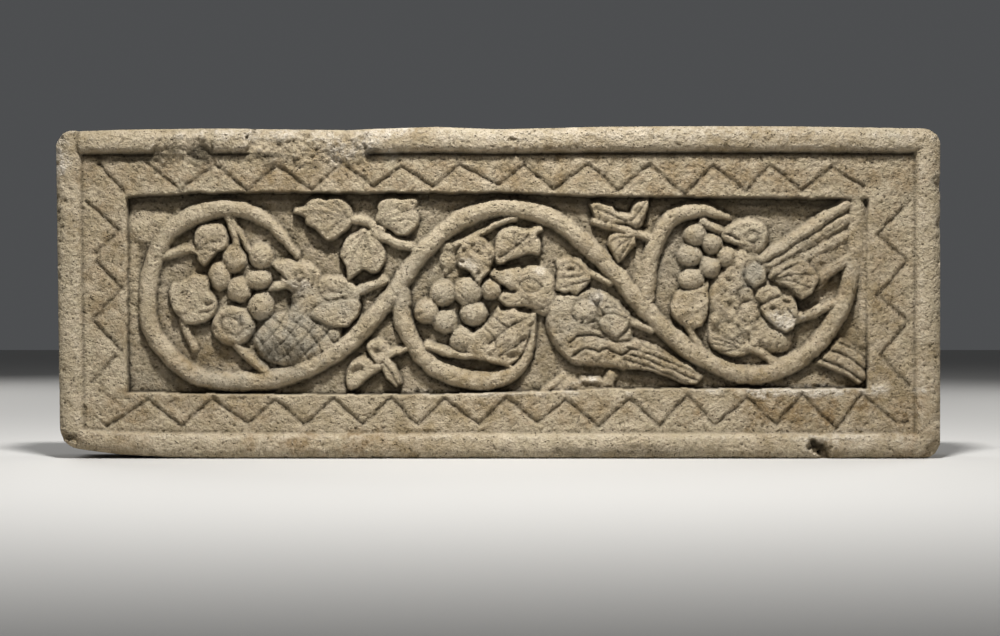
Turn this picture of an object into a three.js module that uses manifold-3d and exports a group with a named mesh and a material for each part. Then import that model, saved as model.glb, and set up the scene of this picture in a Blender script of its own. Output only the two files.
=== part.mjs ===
// A limestone relief panel: a half-round frame and a band of incised zigzags round a sunk field,
// where a vine scroll carries three birds, bunches of grapes and lobed leaves.
// The whole is one carved block, so it is one mesh. Millimetres, +Z up, the carved face towards -Y.

import * as THREE from 'three';
import { mergeVertices } from 'three/addons/utils/BufferGeometryUtils.js';
import Module from 'manifold-3d';

const wasm = await Module();
wasm.setup();

// ---------------------------------------------------------------------------------------------
// Driving dimensions. The carving is laid out in a frame of its own: x to the right and y up from
// the middle of the face, z outwards from the sunk field.
// ---------------------------------------------------------------------------------------------

const LENGTH = 887;
const HEIGHT = 334;
const THICKNESS = 95;

const ROLL = 13.5;              // radius of the half-round frame
const CROWN = 22;               // crown of the frame above the field
const BORDER = 13;              // face of the zigzag band above the field
const ROLL_CENTRE = CROWN - ROLL;
const BACK = CROWN - THICKNESS;
const BURIED = -4;              // carving is rooted this far below the field
const LEFT_LEAN = 4.5;          // the left end leans inwards by this much at its foot

const HALF_LENGTH = LENGTH / 2;
const HALF_HEIGHT = HEIGHT / 2;

const GROOVE_WIDTH = 6;
const GROOVE_DEPTH = 3;

const VINE_HALF_WIDTH = 9.5;
const VINE_TOP = 11.5;
const LEAF_TOP = 9.5;
const BIRD_TOP = 12;
const GRAPE_TOP = 12.5;

// ---------------------------------------------------------------------------------------------
// Solids from three.js geometry
// ---------------------------------------------------------------------------------------------

function solid(geometry) {
  geometry.deleteAttribute('normal');
  geometry.deleteAttribute('uv');
  const merged = mergeVertices(geometry, 1e-3);
  return new wasm.Manifold(new wasm.Mesh({
    numProp: 3,
    vertProperties: new Float32Array(merged.attributes.position.array),
    triVerts: new Uint32Array(merged.index.array),
  }));
}

const joined = (solids) => solids.reduce((all, one) => all.add(one));

function shapeOf(points) {
  return new THREE.Shape(points.map(([x, y]) => new THREE.Vector2(x, y)));
}

// A closed outline drawn as one smooth curve through its points.
function smoothOutline(points, tension = 0.5, perSpan = 2) {
  const corners = points.map(([x, y]) => new THREE.Vector3(x, y, 0));
  const curve = new THREE.CatmullRomCurve3(corners, true, 'catmullrom', tension);
  const samples = curve.getPoints(points.length * perSpan);
  samples.pop();
  return samples.map((p) => [p.x, p.y]);
}

function prism(points, from, to) {
  const geometry = new THREE.ExtrudeGeometry(shapeOf(points), { depth: to - from, bevelEnabled: false });
  geometry.translate(0, 0, from);
  return solid(geometry);
}

// A flat blade with a chamfered upper edge, such as a leaf or a wing.
function blade(points, top = LEAF_TOP, chamfer = 2.5) {
  const geometry = new THREE.ExtrudeGeometry(shapeOf(points), {
    depth: top - BURIED - 2 * chamfer,
    bevelSegments: 1,
    bevelThickness: chamfer,
    bevelSize: chamfer,
    bevelOffset: -chamfer,
  });
  geometry.translate(0, 0, BURIED + chamfer);
  return solid(geometry);
}

const leaf = (points, top, chamfer) => blade(smoothOutline(points), top, chamfer);

// A rounded mass standing out of the field: half of an ellipsoid, turned in the panel's plane.
function dome([x, y], [halfWidth, halfHeight], top, turn = 0, sides = 10) {
  const geometry = new THREE.SphereGeometry(1, sides, 6);
  geometry.rotateX(Math.PI / 2);
  geometry.scale(halfWidth, halfHeight, top);
  geometry.rotateZ(THREE.MathUtils.degToRad(turn));
  geometry.translate(x, y, 0);
  return solid(geometry);
}

// A rod bent along a smooth curve. Its half width runs evenly from start to end of the curve,
// or keeps to its full width up to the taper and narrows from there to the tip.
function stem(points, halfWidth = 4, top = 7, tip = halfWidth, taperFrom = 0, spacing = 17) {
  const curve = new THREE.CatmullRomCurve3(points.map(([x, y]) => new THREE.Vector3(x, y, 0)));
  const steps = Math.max(2, Math.round(curve.getLength() / spacing));
  const rod = new THREE.CylinderGeometry(1, 1, 1, 8, steps);
  const position = rod.attributes.position;
  for (let i = 0; i < position.count; i += 1) {
    const u = THREE.MathUtils.clamp(position.getY(i) + 0.5, 0, 1);
    const centre = curve.getPointAt(u);
    const along = curve.getTangentAt(u);
    const narrowing = Math.max(0, (u - taperFrom) / (1 - taperFrom));
    const width = halfWidth + (tip - halfWidth) * narrowing;
    const rise = top * (0.55 + 0.45 * width / halfWidth);
    const across = position.getX(i) * width;
    position.setXYZ(i, centre.x + along.y * across, centre.y - along.x * across, position.getZ(i) * rise);
  }
  return solid(rod);
}

// A straight V-shaped cut between two points of a face at the given level.
function cut([x0, y0], [x1, y1], level, width = GROOVE_WIDTH, depth = GROOVE_DEPTH) {
  const length = Math.hypot(x1 - x0, y1 - y0);
  const above = 4;
  const spread = (width / 2) * (1 + above / depth);
  const geometry = new THREE.ExtrudeGeometry(
    shapeOf([[0, -depth], [spread, above], [-spread, above]]),
    { depth: length, bevelEnabled: false },
  );
  geometry.rotateX(Math.PI / 2);
  geometry.rotateZ(Math.atan2(x1 - x0, -(y1 - y0)));
  geometry.translate(x0, y0, level);
  return solid(geometry);
}

const cuts = (points, level, width, depth) => points.slice(1).map(
  (point, i) => cut(points[i], point, level, width, depth),
);

// A conchoidal loss: a coarse ellipsoid taken out of the stone.
function loss([x, y, z], [rx, ry, rz], turn = 0) {
  const geometry = new THREE.IcosahedronGeometry(1, 1);
  geometry.scale(rx, ry, rz);
  geometry.rotateZ(THREE.MathUtils.degToRad(turn));
  geometry.translate(x, y, z);
  return solid(geometry);
}

// A broken face: everything in front of a plane that leans back towards the top of the panel.
function fracture(fromX, toX, fromY, level, slope, turn = 0) {
  const geometry = new THREE.BoxGeometry(toX - fromX, 90, 40);
  geometry.translate(0, 25, 20);
  geometry.rotateX(THREE.MathUtils.degToRad(-slope));
  geometry.rotateY(THREE.MathUtils.degToRad(turn));
  geometry.translate((fromX + toX) / 2, fromY, level);
  return solid(geometry);
}

// ---------------------------------------------------------------------------------------------
// Block, frame and zigzag band
// ---------------------------------------------------------------------------------------------

const LEFT_FOOT = -HALF_LENGTH + LEFT_LEAN;

// The worn outline of the block, seen from the front.
const OUTLINE = [
  [LEFT_FOOT, -149], [-415, -158.5], [-380, -164], [-320, -HALF_HEIGHT], [428, -HALF_HEIGHT],
  [437, -161], [HALF_LENGTH, -146], [HALF_LENGTH, 143], [440, 154], [431, 163.5],
  [300, 166], [180, HALF_HEIGHT], [-60, 166], [-300, 164.5], [-424, 161], [-437, 151],
  [-HALF_LENGTH, 134],
];

function block() {
  const inset = ROLL;
  const body = prism(OUTLINE, BACK, ROLL_CENTRE);
  const face = prism([
    [LEFT_FOOT + inset, -HALF_HEIGHT + inset], [HALF_LENGTH - inset, -HALF_HEIGHT + inset],
    [HALF_LENGTH - inset, HALF_HEIGHT - inset], [-HALF_LENGTH + inset, HALF_HEIGHT - inset],
  ], 0, BORDER);
  const sunkField = prism([
    [-371.5, -100.5], [-240, -102.5], [-60, -102.5], [130, -96.5], [370, -96.5],
    [370, 93.5], [100, 96], [0, 99.5], [-300, 99.5], [-371.5, 95],
  ], 0, BORDER + 10);
  return body.add(face).subtract(sunkField);
}

// The half-round frame: four rods that meet in rounded corners.
function frame() {
  const corners = [
    [LEFT_FOOT + ROLL, -HALF_HEIGHT + ROLL], [HALF_LENGTH - ROLL, -HALF_HEIGHT + ROLL],
    [HALF_LENGTH - ROLL, HALF_HEIGHT - ROLL], [-HALF_LENGTH + ROLL, HALF_HEIGHT - ROLL],
  ];
  const rods = corners.map(([x, y], i) => {
    const [toX, toY] = corners[(i + 1) % corners.length];
    const length = Math.hypot(toX - x, toY - y);
    const rod = new THREE.CylinderGeometry(ROLL, ROLL, length, 14);
    rod.rotateZ(Math.atan2(toY - y, toX - x) - Math.PI / 2);
    rod.translate((x + toX) / 2, (y + toY) / 2, ROLL_CENTRE);
    return solid(rod);
  });
  const joints = corners.map(([x, y]) => {
    const ball = new THREE.SphereGeometry(ROLL, 12, 6);
    ball.rotateX(Math.PI / 2);
    ball.translate(x, y, ROLL_CENTRE);
    return solid(ball);
  });
  return joined([...rods, ...joints]).intersect(prism(OUTLINE, BACK, CROWN));
}

// The upper member of the frame has lost its face along a third of its length.
const frameLosses = () => [
  fracture(-338, -286, 139, 13, 22, 3),
  fracture(-249, -205, 141, 14, 26, -4),
  fracture(-208, -168, 137, 13, 22, 3),
  fracture(-171, -134, 142, 14, 28, -5),
  cut([-420, 124], [-420, 170], CROWN, 3, 6),
  cut([411, 126], [424, 142], CROWN - 2, 3, 5),
  loss([319, -156, 18], [10, 8, 10]),
  loss([14, 154, 23], [8, 6, 4]),
  loss([20, 168, 8], [9, 4, 12]),
  loss([446, 107, 10], [5, 10, 16]),
  loss([446, 66, 12], [5, 9, 12]),
  loss([-436, -156, 8], [18, 9, 16], 30),
  loss([-350, 168, 14], [26, 5, 12]),
];

const ZIGZAGS = [
  // above the field
  [[-400, 129], [-375, 100]],
  [[-352, 130], [-318, 101], [-284, 128], [-251, 101], [-222, 127], [-186, 102], [-156, 129],
    [-124, 104.5], [-97, 126], [-65, 106], [-38, 127], [0, 107], [26, 127], [56, 102.5],
    [90, 128], [120.5, 101], [151, 127], [187, 97], [215, 127], [248, 101], [272, 127],
    [304.5, 101], [334, 125], [365, 105]],
  // below it
  [[-392, -136], [-350, -107], [-317, -135], [-285, -106.5], [-250, -132.5], [-224, -108],
    [-193, -132.5], [-164, -107], [-135.5, -132.5], [-107, -106], [-80, -132.5], [-53, -107],
    [-19.5, -132], [9, -106], [39, -131], [67, -107], [100.5, -134], [132, -107], [162, -133.5],
    [190, -103.5], [217, -133.5], [249, -106], [279, -133.5], [304, -103], [339, -136.5],
    [364, -102.5], [399, -130]],
  // to its left
  [[-412, 90], [-379.5, 62], [-402.5, 38]],
  [[-402.5, 31], [-377, 4], [-407, -29], [-375.5, -59.5]],
  [[-382.5, -64], [-407, -89]],
  // to its right
  [[412, 91], [380, 58], [409.5, 30.5], [380, -4]],
  [[383.5, -6], [411, -30]],
  [[408, -33.5], [383, -63], [411, -93.5]],
];

const zigzagBand = () => ZIGZAGS.flatMap((points) => cuts(points, BORDER));

// ---------------------------------------------------------------------------------------------
// Vine
// ---------------------------------------------------------------------------------------------

const MAIN_VINE = [
  [359, 92], [359.5, 63.5], [354, 12.5], [334, -35], [301, -68], [255, -84], [214, -71],
  [180, -49.5], [146, -14.5], [107, 30], [67, 65.5], [30, 82], [-15, 81.5], [-58, 58],
  [-87, 25], [-110, -8], [-151, -52], [-201, -81], [-253, -90], [-304, -84], [-344, -45],
  [-352, -5], [-342, 42], [-320, 69], [-273, 84.5], [-231, 70], [-201, 36],
];
const MIDDLE_LOOP = [
  [-97, 0], [-95, -30], [-69, -72], [-22, -90], [16, -81], [33, -54], [36, -22],
];
const GRAPE_BRANCH = [[149, -6], [154.5, 38], [172, 72], [202, 82], [232, 74]];

const vine = () => [
  stem(MAIN_VINE, VINE_HALF_WIDTH, VINE_TOP, 3.5, 0.93),
  stem(MIDDLE_LOOP, VINE_HALF_WIDTH, VINE_TOP, 2, 0.6),
  stem(GRAPE_BRANCH, VINE_HALF_WIDTH - 0.5, VINE_TOP, 2.5, 0.75),
];

// ---------------------------------------------------------------------------------------------
// Grapes
// ---------------------------------------------------------------------------------------------

const GRAPES = [
  // each one's middle and half sizes
  [[-265, 33], [12, 13]], [[-238, 36], [12.5, 12]], [[-279, 16], [11, 14]],
  [[-260, 2.5], [11.5, 13]], [[-241, 13], [13, 10]], [[-238, -13.5], [12.5, 13.5]],
  [[-72, -19], [12.5, 12]], [[-55.5, -1.5], [12.5, 13]], [[-30.5, 1], [14, 14]],
  [[-6.5, 2.5], [10, 10]], [[-53.5, -30], [12.5, 11]], [[-24, -21], [14, 12]],
  [[-36, -47.5], [12, 13]],
  [[198, 57.5], [12, 10.5]], [[215, 48], [10, 10]], [[192, 36.5], [12.5, 11]],
  [[229, 35], [10, 10]], [[213, 25], [11, 11]], [[193.5, 13], [12.5, 11]],
];

const grapes = () => GRAPES.map(([middle, half]) => dome(middle, half, GRAPE_TOP, 0, 8));

// ---------------------------------------------------------------------------------------------
// Leaves and their stalks
// ---------------------------------------------------------------------------------------------

function leftLoopLeaves() {
  return [
    stem([[-270, 76], [-263, 46]], 4.5, 7),
    stem([[-264, 74], [-250, 42]], 3.5, 6),
    leaf([[-305, 52], [-302, 63], [-289, 68], [-274, 62], [-271, 50], [-274, 42], [-287, 36],
      [-294, 26], [-303, 33], [-308, 40]]),
    stem([[-306, 43], [-332, 38]], 4, 6),
    leaf([[-330, 2], [-322, 11], [-305, 16], [-292, 13], [-289, 0], [-281, -9], [-285, -23],
      [-296, -31], [-312, -31], [-328, -12]]),
    stem([[-317, -28], [-307, -54]], 4.5, 6),
    leaf([[-288, -34], [-280, -18], [-262, -15], [-246, -27], [-246, -43], [-262, -53], [-281, -49]]),
    stem([[-266, -48], [-236, -79]], 4.8, 8),
  ];
}

function upperTrefoil() {
  return [
    leaf([[-206, 80], [-190, 92], [-172, 93.5], [-157, 93], [-146, 80.5], [-149, 66], [-169, 51.5],
      [-181, 56], [-193, 70]]),
    stem([[-150, 74], [-118, 64]], 5, 7.5),
    leaf([[-124, 71], [-119, 87], [-112, 93], [-97, 93], [-80, 91], [-80, 79], [-80, 67], [-88, 57],
      [-103, 57]]),
    stem([[-124, 60], [-88, 45]], 5.5, 8),
    leaf([[-134, 63], [-153, 52], [-159, 36], [-151, 12], [-134, 22.5], [-119, 21], [-112, 36],
      [-119, 50]]),
  ];
}

function lowerTrefoil() {
  return [
    leaf([[-133, -56], [-122, -43], [-110, -50], [-107, -60], [-118, -67], [-131, -63]], LEAF_TOP, 2),
    stem([[-112, -55], [-92, -56]], 4, 6),
    leaf([[-150, -78], [-140, -67], [-126, -70], [-118, -77], [-130, -88], [-147, -96]], LEAF_TOP, 2),
    stem([[-110, -64], [-97, -89]], 4.5, 9),
    stem([[-119, -74], [-103, -88]], 4.5, 9),
  ];
}

function rightTrefoil() {
  return [
    leaf([[91, 87], [107, 87.5], [127, 78], [130, 69], [112, 70], [96, 75]], LEAF_TOP, 2),
    leaf([[126, 78], [139, 90], [151, 91], [150, 78], [141, 62], [131, 68]], LEAF_TOP, 2),
    stem([[97, 73], [122, 64], [149, 55]], 5.5, 8.5),
    leaf([[109, 50], [114, 57], [137, 58], [139, 47], [128, 35], [119, 33]], LEAF_TOP, 2),
  ];
}

function middleLoopLeaves() {
  return [
    stem([[17, 73], [-8, 64], [-27, 54], [-42, 48]], 3.5, 8),
    leaf([[-42, 38], [-33, 51], [-16, 53], [-4, 42], [-5, 28], [-13, 18], [-18, 8], [-27, 19], [-38, 26]]),
    leaf([[-2, 46], [2, 60], [17, 64.5], [40, 64], [44, 50], [41, 38], [20, 32], [0, 28]]),
    leaf([[36, -22], [16, -17], [-1, -19], [-12, -31], [-26, -43], [-32, -57], [-12, -69], [11, -73],
      [26, -59], [33, -40]], 8.5),
    stem([[-69, -55], [-50, -62], [-22, -65.5], [10, -73]], 4, 9),
  ];
}

function middleBirdLeaves() {
  return [
    leaf([[60, 24], [66, 34], [78, 34], [90, 24], [90, 10], [76, -1], [62, 3]]),
    stem([[87, 20], [111, 9]], 3.5, 7),
    leaf([[101, -17], [118, -12], [131.5, -27], [128, -39], [118, -46], [105, -40], [100, -30]], BIRD_TOP + 1.5),
    stem([[129, -28], [152, -37]], 4, 8),
  ];
}

function rightBirdLeaves() {
  return [
    leaf([[209, 6], [186, 1], [173, -9], [174, -23], [183, -34], [197, -37], [211, -25]]),
    stem([[190, -35], [206, -60]], 4.2, 7),
    stem([[213, 66], [221, 62]], 4, 7),
    leaf([[263, -15], [277, -8], [291, -2], [303, -10], [306, -25], [300, -37], [289, -42], [276, -35],
      [268, -26]], BIRD_TOP),
    stem([[303, -28], [320, -22], [335, -12]], 6, 8),
    leaf([[272, 13], [277, 25], [296, 30], [320, 22], [320, 5], [309, -9], [298, -3], [287, 5]],
      BIRD_TOP + 1, 2),
  ];
}

// ---------------------------------------------------------------------------------------------
// Birds, all looking left
// ---------------------------------------------------------------------------------------------

function leftBird() {
  const body = joined([
    dome([-197, 16], [21, 17], BIRD_TOP),
    blade([[-230, 29], [-208, 31], [-192, 26], [-194, 10], [-211, 12]], BIRD_TOP - 2, 2),
    blade([[-233, 1], [-224, 9], [-206, 13], [-196, 4], [-214, 2.5]], BIRD_TOP - 3, 2),
    leaf([[-205, 8], [-180, 10], [-165, -5], [-150, -42], [-190, -60], [-225, -40], [-214, -17]], 8),
    dome([-208, -46], [37, 28], BIRD_TOP + 1),
  ]);
  const scale = 13;
  const scaleCuts = [-2, -1, 0, 1, 2].flatMap((k) => [
    cut([-226 + k * scale, -30], [-196 + k * scale, -62], 11.5, 3, 2),
    cut([-196 + k * scale, -30], [-226 + k * scale, -62], 11.5, 3, 2),
  ]);
  return body
    .subtract(joined([cut([-231, 24], [-210, 12], BIRD_TOP - 2, 4, 4), ...scaleCuts]))
    .add(joined([
      dome([-199, 15.5], [5, 4], BIRD_TOP + 1.5, 0, 8),
      leaf([[-180, 9], [-155, 14.5], [-140, 5], [-124, 8], [-120, 2], [-138, -6], [-150, -12],
        [-170, -10]], LEAF_TOP - 1.5, 2),
      leaf([[-193, -23], [-174, -8], [-139, -10], [-138, -24], [-149, -34], [-164, -35]],
        LEAF_TOP + 2, 2),
    ]));
}

function middleBird() {
  const body = joined([
    dome([37, 6], [21, 21], BIRD_TOP),
    blade([[-10, 17], [2, 20.5], [18, 20], [24, 6], [14, 2]], BIRD_TOP - 2, 2),
    blade([[-2, -8], [3, 0], [16, 1.5], [28, -6], [20, -12], [8, -13]], BIRD_TOP - 3, 2),
    dome([72, -34], [27, 34], BIRD_TOP + 1.5, 25),
    dome([98, -46], [42, 27], BIRD_TOP + 1, -18),
    dome([88.5, -19], [14, 13], BIRD_TOP + 3),
    blade([[118, -52], [150, -52], [207, -84], [201, -91], [191, -92.5], [153, -78.5], [118, -78]],
      BIRD_TOP - 1.5, 2),
  ]);
  return body.subtract(joined([
    cut([-6, 14], [14, 2], BIRD_TOP - 2, 4, 4),
    ...cuts([[76, -45], [90, -42], [104, -47], [134, -48]], BIRD_TOP, 3.5, 4),
    ...cuts([[78, -59], [87, -55], [100, -59], [126, -61], [133, -57]], BIRD_TOP, 3.5, 4),
    cut([134, -57], [205, -85], BIRD_TOP - 1.5, 3.5, 3),
    cut([131, -62], [199, -87], BIRD_TOP - 1.5, 3.5, 3),
    cut([130, -66.5], [191, -91], BIRD_TOP - 1.5, 3.5, 3),
  ])).add(dome([33, 6.5], [6, 4], BIRD_TOP + 1, -15, 8));
}

// Only a stump is left of the middle bird's foot, on the field's lower edge.
const footStump = () => leaf(
  [[47, -99], [55, -91], [68, -83], [82, -86], [104, -86], [112, -76], [121, -84], [112, -99]], 8, 2,
);

function rightBird() {
  const body = joined([
    dome([255, 54], [18, 20], BIRD_TOP),
    blade([[224, 62], [236, 69], [254, 73], [252, 48], [225, 50]], BIRD_TOP - 2, 2),
    leaf([[240, 44], [268, 36], [300, 20], [300, -10], [293, -50], [265, -60], [235, -58], [213, -40],
      [210, -10], [214, 8], [232, 22]], 7, 2),
    dome([247, -20], [38, 43], BIRD_TOP),
    blade([[258, 33], [266, 37], [281, 51], [304, 67], [337, 88], [352, 84], [352, 44], [347, 28],
      [323, 3], [300, -2], [272, -6], [248, 12]], BIRD_TOP - 1, 2),
    dome([258, 16], [12, 14], BIRD_TOP + 2.5, 20),
    dome([270, -1], [11, 10], BIRD_TOP + 2),
  ]);
  return body.subtract(joined([
    cut([226, 57], [243, 53], BIRD_TOP - 2, 3.5, 4),
    cut([267, 26], [351, 84], BIRD_TOP - 1, 5, 4),
    cut([300, 35], [351, 63], BIRD_TOP - 1, 5, 3.5),
    cut([313, 29], [348, 50], BIRD_TOP - 1, 4, 3),
    cut([320, 20], [349, 36], BIRD_TOP - 1, 4, 3),
  ])).add(joined([
    dome([255, 54], [5, 4.5], BIRD_TOP + 1.5, 0, 8),
    stem([[249, -54], [262, -58], [276, -69]], 5, 9),
    blade([[320, -72], [344, -46], [369, -64], [369.5, -88], [360, -93]], 9, 2)
      .subtract(joined([
        cut([328, -64], [368, -87], 9, 3.5, 3),
        cut([334, -57], [372, -76], 9, 3.5, 3),
        cut([343, -48], [372, -67], 9, 3.5, 3),
      ])),
  ]));
}

// ---------------------------------------------------------------------------------------------
// Hollows cut into the finished leaves
// ---------------------------------------------------------------------------------------------

const leafHollows = () => [
  loss([-292, -14, 10], [7, 5, 5], 20),
  loss([-117, -57, 11], [6, 6, 6], -40),
  loss([-139, -80, 11], [9, 5, 4], 25),
  loss([141, 48, 9], [6, 6, 8]),
  loss([22, -47, 10], [6, 5, 6], 30),
  loss([14, -64, 10], [8, 4, 7]),
  loss([72, 24, 11], [6, 3, 5]),
  loss([288, -14, 14], [7, 4, 6]),
  cut([3, 37], [26, 52], LEAF_TOP, 4, 3),
  cut([-4, -54], [34, -27], 8.5, 4, 3),
  ...[[-188, 84], [-190, 72], [-170, 56]].map((to) => cut([-150, 75], to, LEAF_TOP, 3, 2)),
  ...[[-150, 32], [-140, 26], [-122, 28]].map((to) => cut([-134, 58], to, LEAF_TOP, 3, 2)),
];

// ---------------------------------------------------------------------------------------------
// The panel
// ---------------------------------------------------------------------------------------------

function carvedPanel() {
  const carving = joined([
    ...vine(), ...grapes(),
    ...leftLoopLeaves(), ...upperTrefoil(), ...lowerTrefoil(), ...rightTrefoil(),
    ...middleLoopLeaves(), ...middleBirdLeaves(), ...rightBirdLeaves(),
    leftBird(), middleBird(), rightBird(), footStump(),
  ]).subtract(joined(leafHollows()));
  return block()
    .add(frame())
    .subtract(joined([...zigzagBand(), ...frameLosses()]))
    .add(carving);
}

function meshOf(stone, name, material) {
  const { vertProperties, triVerts } = stone.getMesh();
  const geometry = new THREE.BufferGeometry();
  geometry.setAttribute('position', new THREE.BufferAttribute(new Float32Array(vertProperties), 3));
  geometry.setIndex(new THREE.BufferAttribute(new Uint32Array(triVerts), 1));
  geometry.computeVertexNormals();
  const mesh = new THREE.Mesh(geometry, material);
  mesh.name = name;
  return mesh;
}

const limestone = new THREE.MeshStandardMaterial({ color: 0xb3a68a, roughness: 0.9, metalness: 0 });

const panel = meshOf(carvedPanel(), 'relief_panel', limestone);
panel.rotation.x = Math.PI / 2;
panel.position.set(0, (CROWN + BACK) / 2, HALF_HEIGHT);

const group = new THREE.Group();
group.add(panel);

export default group;
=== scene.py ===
"""Visual model of a carved limestone relief panel: vine scroll, birds and grapes in a zigzag border.

The carving is a height above the sunk field, worked out in millimetres over the panel's face and
given to a fine grid; the grid's edge is drawn back into the block's sides and closed by the back.
"""
import math

import bmesh
import bpy
import numpy as np
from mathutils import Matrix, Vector, noise as value_noise


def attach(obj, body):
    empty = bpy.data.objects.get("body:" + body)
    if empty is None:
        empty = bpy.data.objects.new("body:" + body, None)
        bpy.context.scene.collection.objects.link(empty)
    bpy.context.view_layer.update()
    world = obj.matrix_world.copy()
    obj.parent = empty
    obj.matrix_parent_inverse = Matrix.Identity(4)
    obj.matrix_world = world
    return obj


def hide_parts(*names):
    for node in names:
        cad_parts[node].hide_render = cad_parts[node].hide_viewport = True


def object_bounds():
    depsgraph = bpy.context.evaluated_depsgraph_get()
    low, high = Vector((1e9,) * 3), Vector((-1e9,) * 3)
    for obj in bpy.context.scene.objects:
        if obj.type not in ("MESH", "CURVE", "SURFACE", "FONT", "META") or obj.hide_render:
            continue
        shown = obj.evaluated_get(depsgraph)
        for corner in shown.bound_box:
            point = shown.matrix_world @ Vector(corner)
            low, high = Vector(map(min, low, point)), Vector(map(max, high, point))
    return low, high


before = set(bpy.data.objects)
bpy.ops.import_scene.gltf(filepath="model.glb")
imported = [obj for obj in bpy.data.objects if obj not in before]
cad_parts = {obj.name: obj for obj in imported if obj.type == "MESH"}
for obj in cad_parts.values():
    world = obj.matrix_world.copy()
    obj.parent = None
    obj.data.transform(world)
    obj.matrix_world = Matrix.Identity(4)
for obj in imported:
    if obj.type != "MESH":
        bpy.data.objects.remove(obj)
CAD_BOX = [list(corner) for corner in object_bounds()]

# --------------------------------------------------------------------------------------------
# Driving sizes, in millimetres. x runs right and y up from the middle of the face, and heights
# are taken outwards from the sunk field.
# --------------------------------------------------------------------------------------------

MM = 0.001
LOW, HIGH = CAD_BOX
LENGTH = (HIGH[0] - LOW[0]) / MM
HEIGHT = (HIGH[2] - LOW[2]) / MM
HALF_LENGTH = LENGTH / 2
HALF_HEIGHT = HEIGHT / 2

ROLL = 13.5            # radius of the half-round frame
CROWN = 22.0           # its crown above the field
BORDER = 13.0          # the zigzag band above the field
ROLL_CENTRE = CROWN - ROLL
FRONT_Y = LOW[1] / MM
BACK_Y = HIGH[1] / MM

LAYOUT_SCALE = 1.004   # the figures are drawn this much smaller than they are cut
GRID_STEP = 0.8        # spacing of the sculpted grid
TRIANGLES = 165_000    # kept on the face after thinning
SIDE_RINGS = 16        # steps from the rim to the back
SIDE_SHORT = 1.5       # the sides stop this far short of the back
BACK_GRID = (150, 56)  # squares of the back, along and up
BACK_MARGIN = 9        # its grid stops this far from the edges
BACK_OFFSET = 2.0      # and lies this far to the right, clear of the leaning end
SPAN_STEPS = 8         # straight pieces of a curve between two given points
OCTAVE_FADE = 0.55     # each finer noise has this share of the strength of the one before
GROUND_SHADE_AND_DIRT = 6.0      # the sunk ground is darkened up to this height: painted shade and dirt

VINE_WIDTH = 9.6       # half width
VINE_TOP = 12.0
LEAF_TOP = 9.5
BIRD_TOP = 12.5
GRAPE_TOP = 12.5


# --------------------------------------------------------------------------------------------
# Curves and distances
# --------------------------------------------------------------------------------------------

def spline(points, closed=False):
    """A Catmull-Rom curve through the points."""
    p = np.asarray(points, float)
    if closed:
        p = np.vstack([p[-1:], p, p[:2]])
    else:
        p = np.vstack([2 * p[:1] - p[1:2], p, 2 * p[-1:] - p[-2:-1]])
    t = np.linspace(0, 1, SPAN_STEPS, endpoint=False)[:, None]
    spans = []
    for a, b, c, d in zip(p[:-3], p[1:-2], p[2:-1], p[3:]):
        spans.append(0.5 * (2 * b + (c - a) * t + (2 * a - 5 * b + 4 * c - d) * t ** 2
                            + (3 * b - a - 3 * c + d) * t ** 3))
    line = np.vstack(spans)
    return line if closed else np.vstack([line, p[-2:-1]])


def distance_along(x, y, line, closed=False):
    """Distance to a polyline, and how far along it the nearest point lies, from 0 to 1."""
    ends = np.roll(line, -1, axis=0) if closed else line[1:]
    starts = line if closed else line[:-1]
    lengths = np.hypot(*(ends - starts).T)
    run = np.concatenate([[0], np.cumsum(lengths)])
    near = np.full(x.shape, 1e9)
    along = np.zeros(x.shape)
    for (x0, y0), (x1, y1), length, so_far in zip(starts, ends, lengths, run):
        if length < 1e-6:
            continue
        t = ((x - x0) * (x1 - x0) + (y - y0) * (y1 - y0)) / length ** 2
        t = np.clip(t, 0, 1)
        d = np.hypot(x - x0 - t * (x1 - x0), y - y0 - t * (y1 - y0))
        closer = d < near
        near[closer] = d[closer]
        along[closer] = ((so_far + t * length) / run[-1])[closer]
    return near, along


def signed_depth(x, y, outline):
    """Distance inside a closed outline, negative outside it."""
    near, _ = distance_along(x, y, outline, closed=True)
    inside = np.zeros(x.shape, bool)
    for (x0, y0), (x1, y1) in zip(outline, np.roll(outline, -1, axis=0)):
        if y0 == y1:
            continue
        crossed = (y0 > y) != (y1 > y)
        inside ^= crossed & (x < x0 + (y - y0) * (x1 - x0) / (y1 - y0))
    return np.where(inside, near, -near)


def smoothstep(value):
    value = np.clip(value, 0, 1)
    return value * value * (3 - 2 * value)


def soft_max(a, b, blend):
    """The greater of two heights, with a fillet where they meet."""
    overlap = np.clip(blend - np.abs(a - b), 0, None) / blend
    return np.maximum(a, b) + overlap * overlap * blend / 4


def noise(x, y, size, seed, turn=0.0):
    """Smooth noise from -1 to 1, with lumps of the given size."""
    random = np.random.default_rng(seed)
    c, s = math.cos(math.radians(turn)), math.sin(math.radians(turn))
    u = (x * c + y * s) / size
    v = (-x * s + y * c) / size
    u = u - u.min()
    v = v - v.min()
    table = random.uniform(-1, 1, (int(v.max()) + 3, int(u.max()) + 3))
    i, j = v.astype(int), u.astype(int)
    fv, fu = smoothstep(v - i), smoothstep(u - j)
    low = table[i, j] * (1 - fu) + table[i, j + 1] * fu
    high = table[i + 1, j] * (1 - fu) + table[i + 1, j + 1] * fu
    return low * (1 - fv) + high * fv


def rough(x, y, size, seed, octaves=4):
    """Noise of several sizes, each half as large as the one before."""
    total = np.zeros(x.shape)
    weight = 1.0
    for k in range(octaves):
        total += weight * noise(x, y, size / 2 ** k, seed + 31 * k, turn=37 * k)
        weight *= OCTAVE_FADE
    return total


# --------------------------------------------------------------------------------------------
# The sculptor's moves on the height map
# --------------------------------------------------------------------------------------------

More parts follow.
